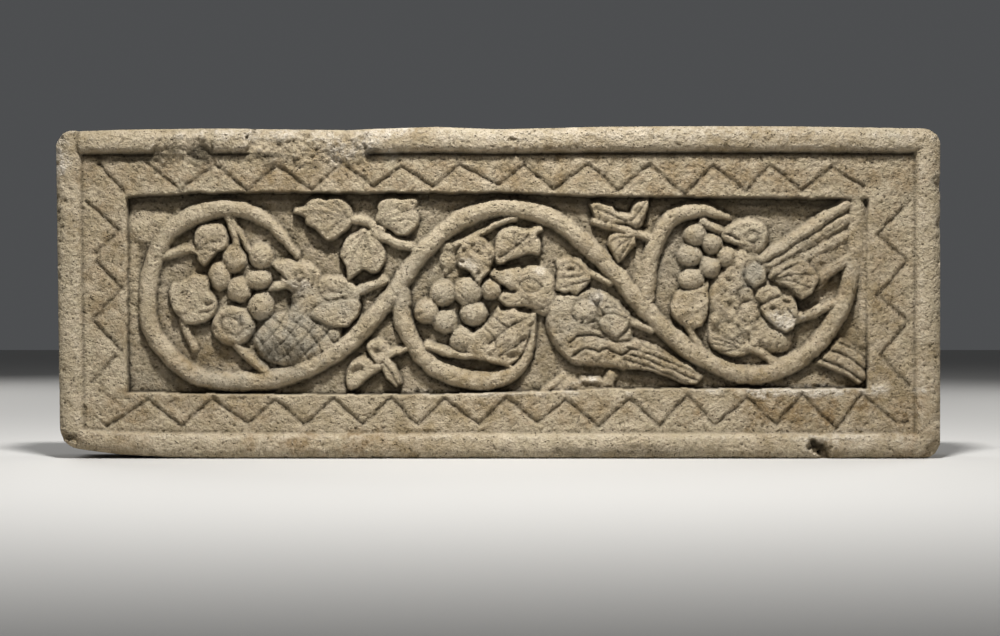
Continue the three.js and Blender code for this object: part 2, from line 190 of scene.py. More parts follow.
class Relief:
    """Heights over the face: the sunk ground, and the masses left standing on it."""

    def __init__(self, xs, ys):
        self.xs, self.ys = xs / LAYOUT_SCALE, ys / LAYOUT_SCALE
        x, y = np.meshgrid(self.xs, self.ys)
        # no edge is cut quite true by hand
        self.x = x + 0.9 * noise(x, y, 11, 41) + 0.45 * noise(x, y, 3.5, 42)
        self.y = y + 0.9 * noise(x, y, 11, 43) + 0.45 * noise(x, y, 3.5, 44)
        self.ground = np.zeros(x.shape)
        self.mass = np.full(x.shape, -40.0)
        # darkening in cuts and round set-in forms: painted shade and dirt
        self.shade_and_dirt = np.zeros(x.shape)

    def window(self, line, reach):
        """The part of the grid round a line, and where its points lie."""
        low = np.min(line, axis=0) - reach
        high = np.max(line, axis=0) + reach
        i0, i1 = np.searchsorted(self.ys, [low[1], high[1]])
        j0, j1 = np.searchsorted(self.xs, [low[0], high[0]])
        where = (slice(i0, i1), slice(j0, j1))
        return where, self.x[where], self.y[where]

    def stand(self, where, height, blend=0.8):
        """Adds a form to the masses; where it comes out on top, its surface is clear of the painted shade
        and dirt beneath.
        """
        self.shade_and_dirt[where] = np.where(height > self.mass[where] + 0.2, 0, self.shade_and_dirt[where])
        self.mass[where] = soft_max(self.mass[where], height, blend)

    def set_in(self, where, outside, depth):
        """Cuts round a form that stands on another, so that its edge reads."""
        ditch = smoothstep(1 - outside / 3.2) * (outside > -1)
        self.mass[where] -= depth * ditch
        # the ditch is darkened too: painted shade and dirt
        self.shade_and_dirt[where] = np.maximum(self.shade_and_dirt[where], 0.55 * ditch * (depth > 0))

    def sink(self, where, depth):
        """Cuts the ground beside a mass a little deeper, as a drill or a point leaves it."""
        self.ground[where] = np.minimum(self.ground[where], -0.5 * depth)

    def stem(self, points, half_width=4.0, top=7.0, tip=None, taper=0.0, full=2.6, moat=1.5):
        """A rounded stalk along a curve, which may narrow towards its tip."""
        line = spline(points)
        where, x, y = self.window(line, half_width + 8)
        d, along = distance_along(x, y, line)
        tip = half_width if tip is None else tip
        narrowing = np.clip((along - taper) / (1 - taper), 0, 1)
        width = half_width + (tip - half_width) * narrowing
        rise = top * (0.5 + 0.5 * width / half_width)
        r = np.clip(d / width, 0, 1)
        height = rise * (1 - r ** full) ** 0.6
        self.stand(where, np.where(d < width, height, -6 - d))
        self.sink(where, moat * smoothstep(1 - (d - width) / 6) * (d >= 0))

    def blade(self, points, top=LEAF_TOP, edge=1.8, crown=1.2, lean=(0.0, 0.0), moat=2.0,
              smooth=True, ripple=0.9, inset=0.0):
        """A leaf, beak or feather: steep sides, and a gently crowned top that may lean."""
        outline = spline(points, closed=True) if smooth else np.asarray(points, float)
        where, x, y = self.window(outline, 8)
        depth = signed_depth(x, y, outline)
        middle = outline.mean(axis=0)
        height = top * smoothstep(depth / edge + 0.1) ** 0.6
        height += crown * (1 - np.exp(-np.clip(depth, 0, None) / 6)) - crown * 0.5
        height += lean[0] * (x - middle[0]) + lean[1] * (y - middle[1])
        height += ripple * rough(x, y, 8, int(abs(middle[0]) * 7 + 3), octaves=2)
        self.set_in(where, -depth, inset)
        self.stand(where, np.where(depth > 0, height, -6 + depth))
        self.sink(where, moat * smoothstep(1 + depth / 6))

    def dome(self, middle, half, top, turn=0.0, power=2.0, moat=1.5, blend=0.8, base=0.0, inset=0.0):
        """A rounded boss: a grape, a head or an eye. A high power flattens its top."""
        middle = np.asarray(middle, float)
        where, x, y = self.window(np.array([middle]), max(half) + 6)
        c, s = math.cos(math.radians(turn)), math.sin(math.radians(turn))
        u = ((x - middle[0]) * c + (y - middle[1]) * s) / half[0]
        v = (-(x - middle[0]) * s + (y - middle[1]) * c) / half[1]
        r = np.hypot(u, v)
        height = base + (top - base) * (1 - np.clip(r, 0, 1) ** power) ** 0.5
        self.set_in(where, (r - 1) * min(half), inset)
        self.stand(where, np.where(r < 1, height, -6 - r), blend)
        self.sink(where, moat * smoothstep(1 - (r - 1) * min(half) / 6))

    def groove(self, points, width=3.0, depth=2.0, smooth=False):
        """A V cut into whatever stands there."""
        line = spline(points) if smooth else np.asarray(points, float)
        where, x, y = self.window(line, width)
        d, _ = distance_along(x, y, line)
        share = np.clip(1 - d / (width / 2), 0, 1)
        self.mass[where] -= depth * share
        # the cut is darkened too: painted shade and dirt in the crease
        self.shade_and_dirt[where] = np.maximum(self.shade_and_dirt[where], min(0.8, 0.36 * depth) * share)

    def veins(self, stalk, tips, width=2.8, depth=1.4):
        """Cuts that fan out from where the stalk joins, each with a slight bow."""
        for k, tip in enumerate(tips):
            bow = ((stalk[0] + tip[0]) / 2 + (k % 3 - 1), (stalk[1] + tip[1]) / 2 + 2)
            self.groove([stalk, bow, tip], width, depth, smooth=True)

    def swell(self, middle, half, rise):
        """Ground left higher, with no edge to it."""
        where, x, y = self.window(np.array([middle], float), 2.2 * max(half))
        r = np.hypot((x - middle[0]) / half[0], (y - middle[1]) / half[1])
        self.ground[where] = np.maximum(self.ground[where], rise * np.exp(-r ** 3))

    def hollow(self, middle, half, depth, turn=0.0):
        """A bowl scooped out of a mass."""
        where, x, y = self.window(np.array([middle], float), max(half) + 2)
        c, s = math.cos(math.radians(turn)), math.sin(math.radians(turn))
        u = ((x - middle[0]) * c + (y - middle[1]) * s) / half[0]
        v = (-(x - middle[0]) * s + (y - middle[1]) * c) / half[1]
        self.mass[where] -= depth * np.clip(1 - np.hypot(u, v) ** 2, 0, 1)

    def shade(self, points, depth, edge=4.0):
        """Lowers the ground inside an outline."""
        outline = spline(points, closed=True)
        where, x, y = self.window(outline, 4)
        self.sink(where, depth * smoothstep(signed_depth(x, y, outline) / edge + 0.5))


# --------------------------------------------------------------------------------------------
# Layout of the carving
# --------------------------------------------------------------------------------------------

ZIGZAGS = [
    # above the field
    [(-400, 129), (-375, 100)],
    [(-352, 130), (-318, 101), (-284, 128), (-251, 101), (-222, 127), (-186, 102), (-156, 129),
     (-124, 104.5), (-97, 126), (-65, 106), (-38, 127), (0, 107), (26, 127), (56, 102.5),
     (90, 128), (120.5, 101), (151, 127), (187, 97), (215, 127), (248, 101), (272, 127),
     (304.5, 101), (334, 125), (365, 105)],
    # below it
    [(-392, -136), (-350, -107), (-317, -135), (-285, -106.5), (-250, -132.5), (-224, -108),
     (-193, -132.5), (-164, -107), (-135.5, -132.5), (-107, -106), (-80, -132.5), (-53, -107),
     (-19.5, -132), (9, -106), (39, -131), (67, -107), (100.5, -134), (132, -107),
     (162, -133.5), (190, -103.5), (217, -133.5), (249, -106), (279, -133.5), (304, -103),
     (339, -136.5), (364, -102.5), (399, -130)],
    # to its left
    [(-412, 90), (-379.5, 62), (-402.5, 38)],
    [(-402.5, 31), (-377, 4), (-407, -29), (-375.5, -59.5)],
    [(-382.5, -64), (-407, -89)],
    # to its right
    [(412, 91), (380, 58), (409.5, 30.5), (380, -4)],
    [(383.5, -6), (411, -30)],
    [(408, -33.5), (383, -63), (411, -93.5)],
]
FAINT_ZIGZAGS = [
    [(-366, 108), (-360, 125)], [(365, 104), (375, 116)], [(-407, -122), (-392, -136)],
    [(-404, -95), (-370, -118)], [(-400, 129), (-410, 120)],
]

MAIN_VINE = [
    (359, 92), (359.5, 63.5), (354, 12.5), (334, -35), (301, -68), (255, -84), (214, -71),
    (180, -49.5), (146, -14.5), (107, 30), (67, 65.5), (30, 82), (-15, 81.5), (-58, 58),
    (-87, 25), (-110, -8), (-151, -52), (-201, -81), (-253, -90), (-304, -84), (-344, -45),
    (-352, -5), (-342, 42), (-320, 69), (-273, 84.5), (-231, 70), (-201, 36),
]
MIDDLE_LOOP = [(-97, 0), (-95, -30), (-69, -72), (-22, -90), (16, -81), (33, -54), (36, -22)]
GRAPE_BRANCH = [(149, -6), (154.5, 38), (172, 72), (202, 82), (232, 74)]

SWELLS = [
    # where the ground runs up into the work: middle, half sizes, rise
    ((-352, 62), (22, 18), 6.5), ((-366, 0), (7, 70), 5.5), ((-342, 70), (16, 10), 6.5),
    ((146, 12), (9, 24), 6.0), ((20, 82), (30, 8), 2.5), ((369, 25), (9, 80), 9.5),
    ((-90, 84), (26, 9), 2.5), ((300, -90), (40, 6), 2.0),
]

GRAPES = [
    # each one's middle and half sizes
    ((-265, 33), (12, 13)), ((-238, 36), (12.5, 12)), ((-279, 16), (11, 14)),
    ((-260, 2.5), (11.5, 13)), ((-241, 13), (13, 10)), ((-238, -13.5), (12.5, 13.5)),
    ((-72, -19), (12.5, 12)), ((-55.5, -1.5), (12.5, 13)), ((-30.5, 1), (14, 14)),
    ((-6.5, 2.5), (10, 10)), ((-53.5, -30), (12.5, 11)), ((-24, -21), (14, 12)),
    ((-36, -47.5), (12, 13)),
    ((198, 57.5), (12, 10.5)), ((215, 48), (10, 10)), ((192, 36.5), (12.5, 11)),
    ((229, 35), (10, 10)), ((213, 25), (11, 11)), ((193.5, 13), (12.5, 11)),
]


def carve_vine(relief):
    relief.stem(MAIN_VINE, VINE_WIDTH, VINE_TOP, tip=3.5, taper=0.93, moat=2.5)
    relief.stem(MIDDLE_LOOP, VINE_WIDTH - 0.3, VINE_TOP, tip=2, taper=0.6, moat=2.5)
    relief.stem(GRAPE_BRANCH, VINE_WIDTH - 0.8, VINE_TOP - 0.5, tip=2.5, taper=0.75, moat=2)


def carve_grapes(relief):
    for k, (middle, half) in enumerate(GRAPES):
        top = GRAPE_TOP + 0.8 * math.sin(k * 2.4)
        fuller = [1.07 * size for size in half]
        relief.dome(middle, fuller, top, power=2.3, blend=0.4, moat=3)


def carve_left_loop(relief):
    relief.shade([(-330, 36), (-300, 34), (-272, 0), (-240, -30), (-236, -70), (-300, -78),
                  (-335, -40)], 1.5)
    relief.stem([(-271, 77), (-266, 60), (-263, 46)], 4.2, 8)
    relief.stem([(-267, 74), (-257, 56), (-250, 42)], 3.4, 7)
    relief.blade([(-306, 52), (-303, 62), (-290, 68), (-276, 64), (-271, 52), (-272, 44), (-281, 40),
                  (-286, 33), (-294, 26), (-303, 33), (-303, 38), (-308, 40), (-303, 45)],
                 LEAF_TOP + 1.5, lean=(0.03, 0.02), ripple=1.3, moat=5)
    relief.veins((-303, 43), [(-296, 55), (-280, 51), (-283, 42), (-292, 33)], 3.2, 1.6)
    relief.stem([(-304, 44), (-318, 42), (-334, 36)], 4.6, 7)
    relief.shade([(-334, 30), (-308, 38), (-304, 28), (-330, 22)], 3, edge=3)
    relief.blade([(-330, 2), (-326, 9), (-318, 10), (-306, 16), (-292, 14), (-289, 0), (-283, -7),
                  (-281, -13), (-285, -23), (-296, -31), (-311, -32), (-322, -24), (-329, -12)],
                 LEAF_TOP, lean=(0.04, -0.02), ripple=1.2, moat=5)
    relief.hollow((-290.5, -12), (7, 3.2), 3.6, turn=15)
    relief.groove([(-300, -21), (-288, -18), (-281, -12)], 3.0, 1.6, smooth=True)
    relief.groove([(-324, 0), (-318, 8)], 2.5, 0.8)
    relief.stem([(-317, -28), (-311, -42), (-305, -56)], 4.6, 6)
    relief.dome((-266, -34), (22, 20), LEAF_TOP + 3.5, power=5, moat=5, inset=2)
    relief.hollow((-267, -33), (17, 14), 3.0, turn=25)
    relief.dome((-267, -34), (11, 8), LEAF_TOP + 2.2, turn=-40, moat=0, base=LEAF_TOP - 2, inset=1.6)
    relief.hollow((-284, -37), (5, 3), 3)
    relief.veins((-262, -46), [(-272, -20), (-256, -20), (-248, -32)], 3.0, 1.4)
    relief.stem([(-270, -44), (-256, -60), (-234, -79)], 4.8, 9.5)


def carve_left_bird(relief):
    relief.shade([(-229, 3), (-200, 3), (-196, -8), (-216, -16), (-232, -8)], 4, edge=3)
    relief.blade([(-206, 6), (-182, 12), (-166, -2), (-155, -30), (-165, -58), (-200, -66), (-226, -52),
                  (-226, -30), (-210, -18)], 8.5, edge=4, crown=3, moat=0)
    relief.dome((-208, -46), (37, 28), BIRD_TOP, power=2.6, turn=10)
    relief.dome((-198, 15), (21, 17.5), BIRD_TOP, power=2.6)
    relief.blade([(-229, 28), (-220, 30.5), (-204, 31), (-192, 24), (-196, 12), (-211, 13)],
                 BIRD_TOP - 2.5, smooth=False, lean=(0.04, 0))
    relief.blade([(-234, 1), (-226, 7), (-211, 13), (-200, 10), (-200, 2), (-214, 2.5), (-226, 1)],
                 BIRD_TOP - 3.5, smooth=False, moat=0)
    relief.groove([(-230, 25), (-212, 13)], 3.4, 3.5)
    relief.dome((-198.5, 15), (3.6, 3), BIRD_TOP + 1.6, moat=0, base=BIRD_TOP - 2, inset=2.4)
    relief.groove([(-206, 17), (-200, 21), (-192, 18)], 2.8, 1.8, smooth=True)
    relief.groove([(-190, 24), (-184, 14), (-186, 4)], 3.0, 1.6, smooth=True)
    relief.groove([(-206, 8), (-198, 7), (-190, 9)], 2.8, 1.4, smooth=True)
    for k in range(-2, 4):
        falling = [(-244 + 18 * k, -26), (-226 + 18 * k, -40), (-206 + 18 * k, -70)]
        rising = [(-252 + 18 * k, -66), (-228 + 18 * k, -44), (-210 + 18 * k, -18)]
        relief.groove(falling, 3.2, 2.0, smooth=True)
        relief.groove(rising, 3.2, 2.0, smooth=True)
    relief.hollow((-215, -62), (14, 9), 1.5)


def carve_leaf_over_left_bird(relief):
    relief.blade([(-180, 10), (-172, 14), (-154, 13), (-142, 5), (-138, -6), (-148, -12), (-168, -10),
                  (-178, 0)], LEAF_TOP - 0.5, lean=(0, 0.1), inset=1.5)
    relief.groove([(-176, 4), (-160, 0), (-146, 0)], 3, 1.2, smooth=True)
    relief.stem([(-142, 0), (-130, 5), (-114, 12)], 5.2, 8.5)
    relief.blade([(-192, -23), (-184, -16), (-174, -11), (-158, -8), (-142, -6), (-137, -14), (-139, -24),
                  (-149, -35), (-163, -36), (-174, -33)], LEAF_TOP + 3.0, crown=2, smooth=False,
                 lean=(0, 0.04), moat=4, inset=2)


def carve_upper_trefoil(relief):
    relief.blade([(-206, 80), (-197, 84), (-190, 91), (-180, 94), (-172, 92), (-162, 94), (-152, 89),
                  (-146, 80.5), (-148, 66), (-157, 58), (-169, 51.5), (-178, 56), (-184, 64),
                  (-193, 69), (-195, 74)], LEAF_TOP + 1, lean=(-0.01, 0.04), moat=4)
    relief.veins((-150, 75), [(-164, 91), (-182, 89), (-199, 80), (-188, 69), (-174, 57)])
    relief.stem([(-152, 74), (-136, 72), (-117, 63)], 5.2, 8)
    relief.blade([(-124, 71), (-121, 82), (-119, 89), (-112, 93), (-97, 93), (-86, 94), (-80, 90),
                  (-82, 82), (-79, 76), (-81, 66), (-89, 58), (-101, 57), (-108, 62)],
                 LEAF_TOP + 1, lean=(0.0, 0.03), moat=4)
    relief.veins((-121, 67), [(-112, 90), (-97, 89), (-83, 84), (-84, 72), (-96, 60)])
    relief.stem([(-126, 60), (-108, 52), (-86, 45)], 5.6, 8.5)
    relief.blade([(-134, 64), (-143, 58), (-153, 53), (-157, 42), (-159, 36), (-154, 26), (-151, 12),
                  (-141, 18), (-134, 22.5), (-127, 19), (-119, 21), (-113, 30), (-112, 38), (-118, 49),
                  (-126, 56)], LEAF_TOP + 1.2, lean=(0.0, -0.02), moat=5)
    relief.veins((-133, 60), [(-155, 42), (-151, 22), (-137, 25), (-122, 24), (-115, 40)])
    relief.shade([(-185, 56), (-150, 50), (-158, 40), (-186, 44)], 4, edge=3)
    relief.shade([(-146, 20), (-118, 20), (-116, 12), (-138, 8)], 4, edge=3)
    relief.shade([(-112, 50), (-92, 42), (-104, 38)], 4, edge=3)


def carve_lower_trefoil(relief):
    relief.shade([(-150, -98), (-90, -98), (-88, -60), (-120, -45), (-150, -70)], 2.5)
    relief.blade([(-133, -56), (-127, -50), (-117, -48.5), (-110, -53), (-105, -58), (-92, -56),
                  (-92, -61), (-104, -65), (-112, -69), (-120, -72), (-128, -65)], LEAF_TOP, moat=2)
    relief.hollow((-121, -60), (5, 6), 4.5, turn=40)
    relief.blade([(-151, -95), (-152, -82), (-145, -71), (-133, -67.5), (-122, -73), (-120, -79),
                  (-130, -88), (-142, -97)], LEAF_TOP, moat=3)
    relief.hollow((-141, -79), (8, 5.5), 5, turn=25)
    relief.stem([(-120, -75), (-133, -83), (-147, -94)], 5.0, 10.5)
    relief.blade([(-119, -72), (-109, -65), (-101, -77), (-95, -92), (-102, -96), (-112, -87)],
                 LEAF_TOP + 1.5, smooth=False, moat=3)
    relief.groove([(-114, -71), (-106, -82), (-99, -93)], 3.2, 2.8)


def carve_right_trefoil(relief):
    relief.shade([(130, 58), (148, 56), (146, 36), (132, 34)], 4, edge=3)
    relief.blade([(90, 89), (102, 89), (114, 86), (122, 78), (131, 77), (134, 86), (139, 91), (151, 93),
                  (151, 86), (148, 76), (145, 67), (139, 62), (132, 67), (124, 68), (110, 68), (97, 74)],
                 LEAF_TOP + 0.5, lean=(0.0, 0.03), moat=4, smooth=False, ripple=1.3)
    relief.groove([(98, 84), (114, 78), (128, 70)], 3.4, 2.4, smooth=True)
    relief.groove([(132, 70), (140, 80), (147, 90)], 3.2, 2.2)
    relief.groove([(140, 66), (146, 76)], 3.0, 1.6)
    relief.stem([(97, 71), (112, 66), (130, 61), (151, 55)], 4.6, 9.5, moat=1)
    relief.blade([(109, 47), (112, 57), (128, 60), (137, 58), (139, 48), (131, 39), (127, 33),
                  (120.5, 29), (114, 38)], LEAF_TOP + 0.5, lean=(0.0, 0.03), moat=5, smooth=False,
                 ripple=1.6)
    relief.veins((134, 56), [(112, 50), (116, 40), (122, 33)], 3.2, 2.0)


def carve_middle_loop(relief):
    relief.shade([(-68, -62), (-40, -67), (-16, -70), (16, -77), (-10, -81), (-40, -78)], 5, edge=3)
    relief.blade([(-60, 40), (-50, 54), (-38, 50), (-36, 36), (-44, 22), (-56, 18)], 4, edge=5, crown=1.5,
                 ripple=2.0)
    relief.blade([(-42, 38), (-38, 46), (-31, 52), (-16, 54), (-4, 44), (-3, 34), (-8, 22), (-14, 14),
                  (-18, 8), (-26, 16), (-32, 22), (-40, 26)], LEAF_TOP + 1, lean=(0, 0.02), ripple=2.2)
    for k in range(9):
        spot = (-22 + 15 * math.cos(2.4 * k), 33 + 14 * math.sin(2.4 * k))
        relief.hollow(spot, (4.5, 3), 3.2, turn=40 * k)
    relief.stem([(18, 74), (4, 70), (-10, 63), (-26, 54), (-42, 48)], 3.4, 8.5)
    relief.blade([(-3, 48), (3, 60), (16, 64.5), (28, 61), (42, 66), (46, 62), (40, 56), (44, 49),
                  (42, 38), (30, 38), (14, 32), (-1, 28)], LEAF_TOP + 1.5, lean=(0.0, -0.02), moat=5,
                 ripple=1.2)
    relief.groove([(1, 34), (14, 43), (30, 57)], 3.4, 2.6, smooth=True)
    relief.veins((18, 47), [(6, 53), (26, 40), (38, 44), (16, 59)], 3.0, 1.6)
    relief.shade([(-4, 29), (40, 40), (38, 30), (8, 22)], 5, edge=3)
    relief.blade([(37, -22), (26, -21), (16, -17), (6, -20), (-1, -17), (-8, -27), (-16, -34), (-26, -42),
                  (-34, -56), (-22, -66), (-4, -70), (11, -74), (26, -60), (33, -40)],
                 LEAF_TOP, edge=2.4, crown=0.5, lean=(0.0, 0.02), ripple=1.2, moat=1)
    relief.stem([(-8, -58), (12, -45), (34, -28)], 3.2, LEAF_TOP + 1.8, moat=0)
    relief.groove([(-10, -52), (8, -37), (32, -23)], 3.4, 2.8, smooth=True)
    relief.groove([(-2, -26), (8, -34), (18, -30)], 3.2, 2.2, smooth=True)
    relief.groove([(-14, -36), (-4, -46), (-2, -54)], 3.2, 2.2, smooth=True)
    relief.groove([(0, -64), (14, -57), (28, -47)], 3.0, 2.2, smooth=True)
    relief.hollow((24, -47), (6, 3.5), 3.5, turn=35)
    relief.hollow((14, -64), (9, 4.5), 5, turn=15)
    relief.stem([(-70, -54), (-50, -61.5), (-22, -64.5), (0, -69), (12, -74)], 4.2, 9.5, tip=2.5,
                taper=0.7)


def carve_middle_bird(relief):
    relief.blade([(57, -2), (75, 0), (92, 3), (105, 2), (118, -7), (132, -24), (137, -52), (130, -78),
                  (107, -75), (82, -74), (66, -66), (55, -52), (48, -36), (49, -18)],
                 BIRD_TOP - 3, edge=6, crown=2, lean=(-0.02, 0.0), moat=3, ripple=1.2)
    relief.dome((46, -8), (16, 16), BIRD_TOP - 2.5, power=2.6, moat=0)
    relief.dome((37, 5), (22, 22), BIRD_TOP + 0.5, power=3.4, inset=1.5)
    relief.blade([(-10, 17), (-4, 20), (6, 21), (22, 25), (28, 14), (22, 3), (13, 1), (2, 9)],
                 BIRD_TOP - 1.5, smooth=False)
    relief.blade([(-1, -8), (5, -1), (16, 1), (30, 0), (34, -14), (20, -15), (8, -15)],
                 BIRD_TOP - 2.5, smooth=False)
    relief.groove([(-8, 14), (4, 7), (16, 0)], 4.4, 5)
    relief.hollow((33.5, 6.5), (11, 7), 2.4, turn=-12)
    relief.dome((33.5, 6.5), (6, 3.4), BIRD_TOP + 0.8, turn=-15, moat=0, base=BIRD_TOP - 3)
    relief.groove([(22, 9), (29, 13.5), (38, 12), (45, 5)], 3.2, 2.4, smooth=True)
    relief.groove([(22, 9), (28, 1), (38, 0), (45, 5)], 3.2, 2.2, smooth=True)
    relief.groove([(24, 17), (36, 19), (48, 12)], 2.8, 1.0, smooth=True)
    relief.dome((87, -19), (13, 12.5), BIRD_TOP + 0.2, power=4, moat=0, blend=0.4, inset=1.4)
    relief.dome((99, -6), (4.5, 4.5), BIRD_TOP + 1.2, power=2.5, moat=0, inset=1.0)
    relief.blade([(118, -50), (135, -50), (152, -53), (180, -68), (208, -84), (200, -92), (190, -93),
                  (172, -86), (153, -79), (130, -77)], BIRD_TOP - 2, smooth=False, lean=(-0.02, 0.02),
                 moat=3)
    for cut in ([(72, -50), (78, -44), (92, -43), (106, -46), (122, -50), (136, -48)],
                [(74, -64), (86, -56), (100, -60), (108, -57), (125, -63), (133, -57)]):
        relief.groove(cut, 4.4, 4.0)
    relief.groove([(94, -66), (99, -69), (104, -64)], 3.0, 1.8)
    for cut in ([(130, -55), (168, -68), (206, -84)], [(128, -61), (163, -73), (200, -88)],
                [(126, -67), (158, -77), (192, -91)], [(138, -51), (174, -64)]):
        relief.groove(cut, 3.4, 2.8)


def carve_leaves_by_middle_bird(relief):
    relief.blade([(57, 2), (59, 14), (59, 30), (67, 35), (74, 32), (84, 31), (91, 22), (94, 12), (88, 4),
                  (80, -3), (72, 0), (66, -2)], LEAF_TOP + 0.5, lean=(0, -0.02), moat=5, smooth=False,
                 ripple=1.4, inset=2)
    relief.hollow((73, 23), (5, 3), 4.0, turn=15)
    relief.groove([(62, 27), (74, 30), (86, 22)], 3.0, 1.8, smooth=True)
    relief.groove([(60, 14), (74, 15), (88, 18)], 3.0, 1.8, smooth=True)
    relief.groove([(62, 5), (76, 7), (90, 11)], 3.0, 1.6, smooth=True)
    relief.stem([(88, 20), (99, 15), (112, 9)], 3.8, 8.5, moat=3)
    relief.blade([(101, -14), (110, -10), (122, -14), (133, -26), (129, -38), (120, -46), (110, -44),
                  (102, -38), (100, -30), (106, -24)], BIRD_TOP + 0.2, lean=(0, -0.02), moat=0,
                 smooth=False, inset=1.8)
    relief.groove([(104, -24), (114, -21), (128, -26)], 3.2, 2.6, smooth=True)
    relief.groove([(106, -16), (114, -15), (124, -20)], 2.8, 1.4, smooth=True)
    relief.hollow((109, -42), (5, 3), 4.0)
    relief.hollow((97, -37), (6, 3), 4.0, turn=-20)
    relief.hollow((100, -25), (3.4, 2.4), 3.0)
    relief.stem([(128, -28), (140, -33), (154, -38)], 4.0, 9)


def carve_foot_stump(relief):
    relief.blade([(46, -99), (54, -92), (62, -86), (70, -83), (84, -87), (104, -86), (112, -76),
                  (121, -82), (118, -92), (112, -99)], 5.5, edge=4, crown=2, ripple=1.6, moat=0)
    relief.blade([(82, -86), (104, -86), (106, -91), (82, -91)], 8, smooth=False, moat=0)
    relief.stem([(46, -99), (58, -90), (66, -84)], 3.5, 7, moat=0)


def carve_right_bird(relief):
    relief.shade([(202, -30), (219, -30), (221, -60), (204, -62)], 2.5)
    relief.blade([(236, 44), (262, 38), (290, 22), (300, 0), (300, -30), (292, -52), (262, -60),
                  (228, -58), (214, -44), (209, -12), (211, 8), (226, 24)], 8.5, edge=9, crown=1.5,
                 ripple=2.4, moat=0)
    relief.dome((273, -44), (24, 15), 10, turn=-25, power=2.6, moat=0)
    relief.dome((250, 28), (22, 18), BIRD_TOP - 3, power=3, moat=0)
    relief.dome((255, 55), (17.5, 18.5), BIRD_TOP, power=2.8)
    relief.blade([(222, 58), (230, 66), (242, 70), (254, 72), (254, 48), (238, 47), (226, 50)],
                 BIRD_TOP - 2, smooth=False)
    relief.groove([(224, 58), (234, 57), (243, 53)], 3.4, 4)
    relief.dome((255, 54), (5, 4), BIRD_TOP + 1.6, moat=0, base=BIRD_TOP - 2, inset=1.5)
    relief.groove([(247, 57), (254, 61.5), (262, 58)], 3.0, 2.4, smooth=True)
    relief.groove([(243, 46), (252, 38), (266, 36)], 3.0, 1.4, smooth=True)
    relief.dome((248.5, -2), (9, 8), BIRD_TOP - 2, power=3, moat=0, inset=1)
    relief.dome((252, -19), (12, 10), BIRD_TOP - 2.5, power=3, moat=0, inset=0.8)
    relief.dome((232, -38), (13, 8), BIRD_TOP - 3, turn=-25, power=3, moat=0, inset=0.8)
    relief.blade([(212, -40), (224, -43), (238, -50), (254, -57), (248, -64), (230, -63), (214, -55)],
                 LEAF_TOP, inset=1.6, moat=0, ripple=1.4)
    relief.veins((250, -60), [(216, -46), (214, -52), (222, -59)], 3.2, 2.0)
    relief.stem([(242, -56), (256, -57), (268, -63), (278, -72)], 5, 9.5, moat=0)
    relief.shade([(224, -66), (240, -62), (254, -66), (252, -73), (236, -72)], 4, edge=2.5)


def carve_right_wing(relief):
    relief.blade([(258, 28), (266, 33), (304, 59.5), (337, 82), (352, 90), (352, 42), (347, 26), (323, 3),
                  (306, -6), (284, -6), (262, 6)], 6, smooth=False, moat=4)
    feathers = [
        # from the shoulder to the tip, half width and top
        ((262, 31), (300, 55.5), (349, 87), 5.8, BIRD_TOP - 0.5),
        ((270, 22), (302, 44.5), (349, 73), 6.4, BIRD_TOP - 2.5),
        ((286, 20), (312, 37), (349, 56), 5.4, BIRD_TOP - 3.5),
        ((306, 8), (328, 18), (349, 32), 6.4, BIRD_TOP - 2),
    ]
    for start, bend, end, half_width, top in feathers:
        relief.stem([start, bend, end], half_width, top, full=4, moat=0)
    relief.groove([(276, 24), (302, 41), (346, 70)], 2.8, 1.6)
    relief.blade([(246, 12), (249, 26), (258, 32), (269, 24), (270, 12), (257, 3)], BIRD_TOP + 1.5,
                 edge=2.5, crown=2, smooth=False, moat=0, ripple=0.6, inset=1.6)
    relief.blade([(257, -3), (264, 7), (274, 6), (285, 0), (278, -9), (264, -11)], BIRD_TOP + 0.5,
                 edge=2.5, crown=1.5, moat=0, inset=1.6)
    relief.blade([(270, 14), (274, 22), (284, 28), (304, 33), (318, 24), (321, 13), (316, -1),
                  (304, -10), (297, -3), (290, 4), (280, 7)], BIRD_TOP + 1.5, smooth=False, moat=5,
                 ripple=1.6, inset=2.8)
    relief.veins((274, 13), [(300, 28), (316, 18), (312, 4), (302, -4)], 3.4, 2.2)


def carve_leaves_by_right_bird(relief):
    relief.blade([(211, 10), (202, 3), (188, 1), (176, -3), (172, -14), (174, -24), (183, -34), (195, -38),
                  (206, -34), (211, -22), (213, -8)], LEAF_TOP + 0.5, lean=(0, -0.01), ripple=2.0,
                 moat=4, smooth=False)
    relief.groove([(211, 10), (212, -8), (210, -30)], 3.0, 3.0, smooth=True)
    relief.stem([(190, -34), (197, -46), (206, -61)], 4.4, 8, moat=3)
    relief.stem([(206, 70), (213, 66), (222, 62)], 4.6, 9)
    relief.blade([(261, -16), (272, -8), (284.5, -3), (297, -7), (301, -16), (300, -28), (296, -37),
                  (287, -42), (276, -34), (267, -25)], BIRD_TOP + 1, lean=(0, -0.02), moat=4,
                 smooth=False, ripple=1.6, inset=2.8)
    relief.hollow((289, -10), (6, 3), 4.5, turn=-20)
    relief.hollow((275.5, -15), (3.6, 3), 4.0)
    relief.groove([(290, -18), (296, -26)], 3.4, 2.6)
    relief.stem([(300, -26), (318, -20), (336, -12)], 6.0, 9.5, tip=5, moat=4)
    relief.groove([(304, -21), (320, -17)], 3.0, 1.4)


def carve_right_tail(relief):
    relief.blade([(318, -72), (330, -60), (344, -45), (369, -62), (369.5, -88), (362, -93), (345, -82)],
                 8.5, smooth=False, moat=2)
    for cut in ([(324, -67), (346, -76), (368, -90)], [(332, -58), (352, -66), (371, -80)],
                [(340, -50), (358, -57), (371, -69)], [(344, -47), (360, -52), (371, -60)]):
        relief.groove(cut, 4.6, 3.6, smooth=True)


# --------------------------------------------------------------------------------------------
# Border, frame and losses
# --------------------------------------------------------------------------------------------

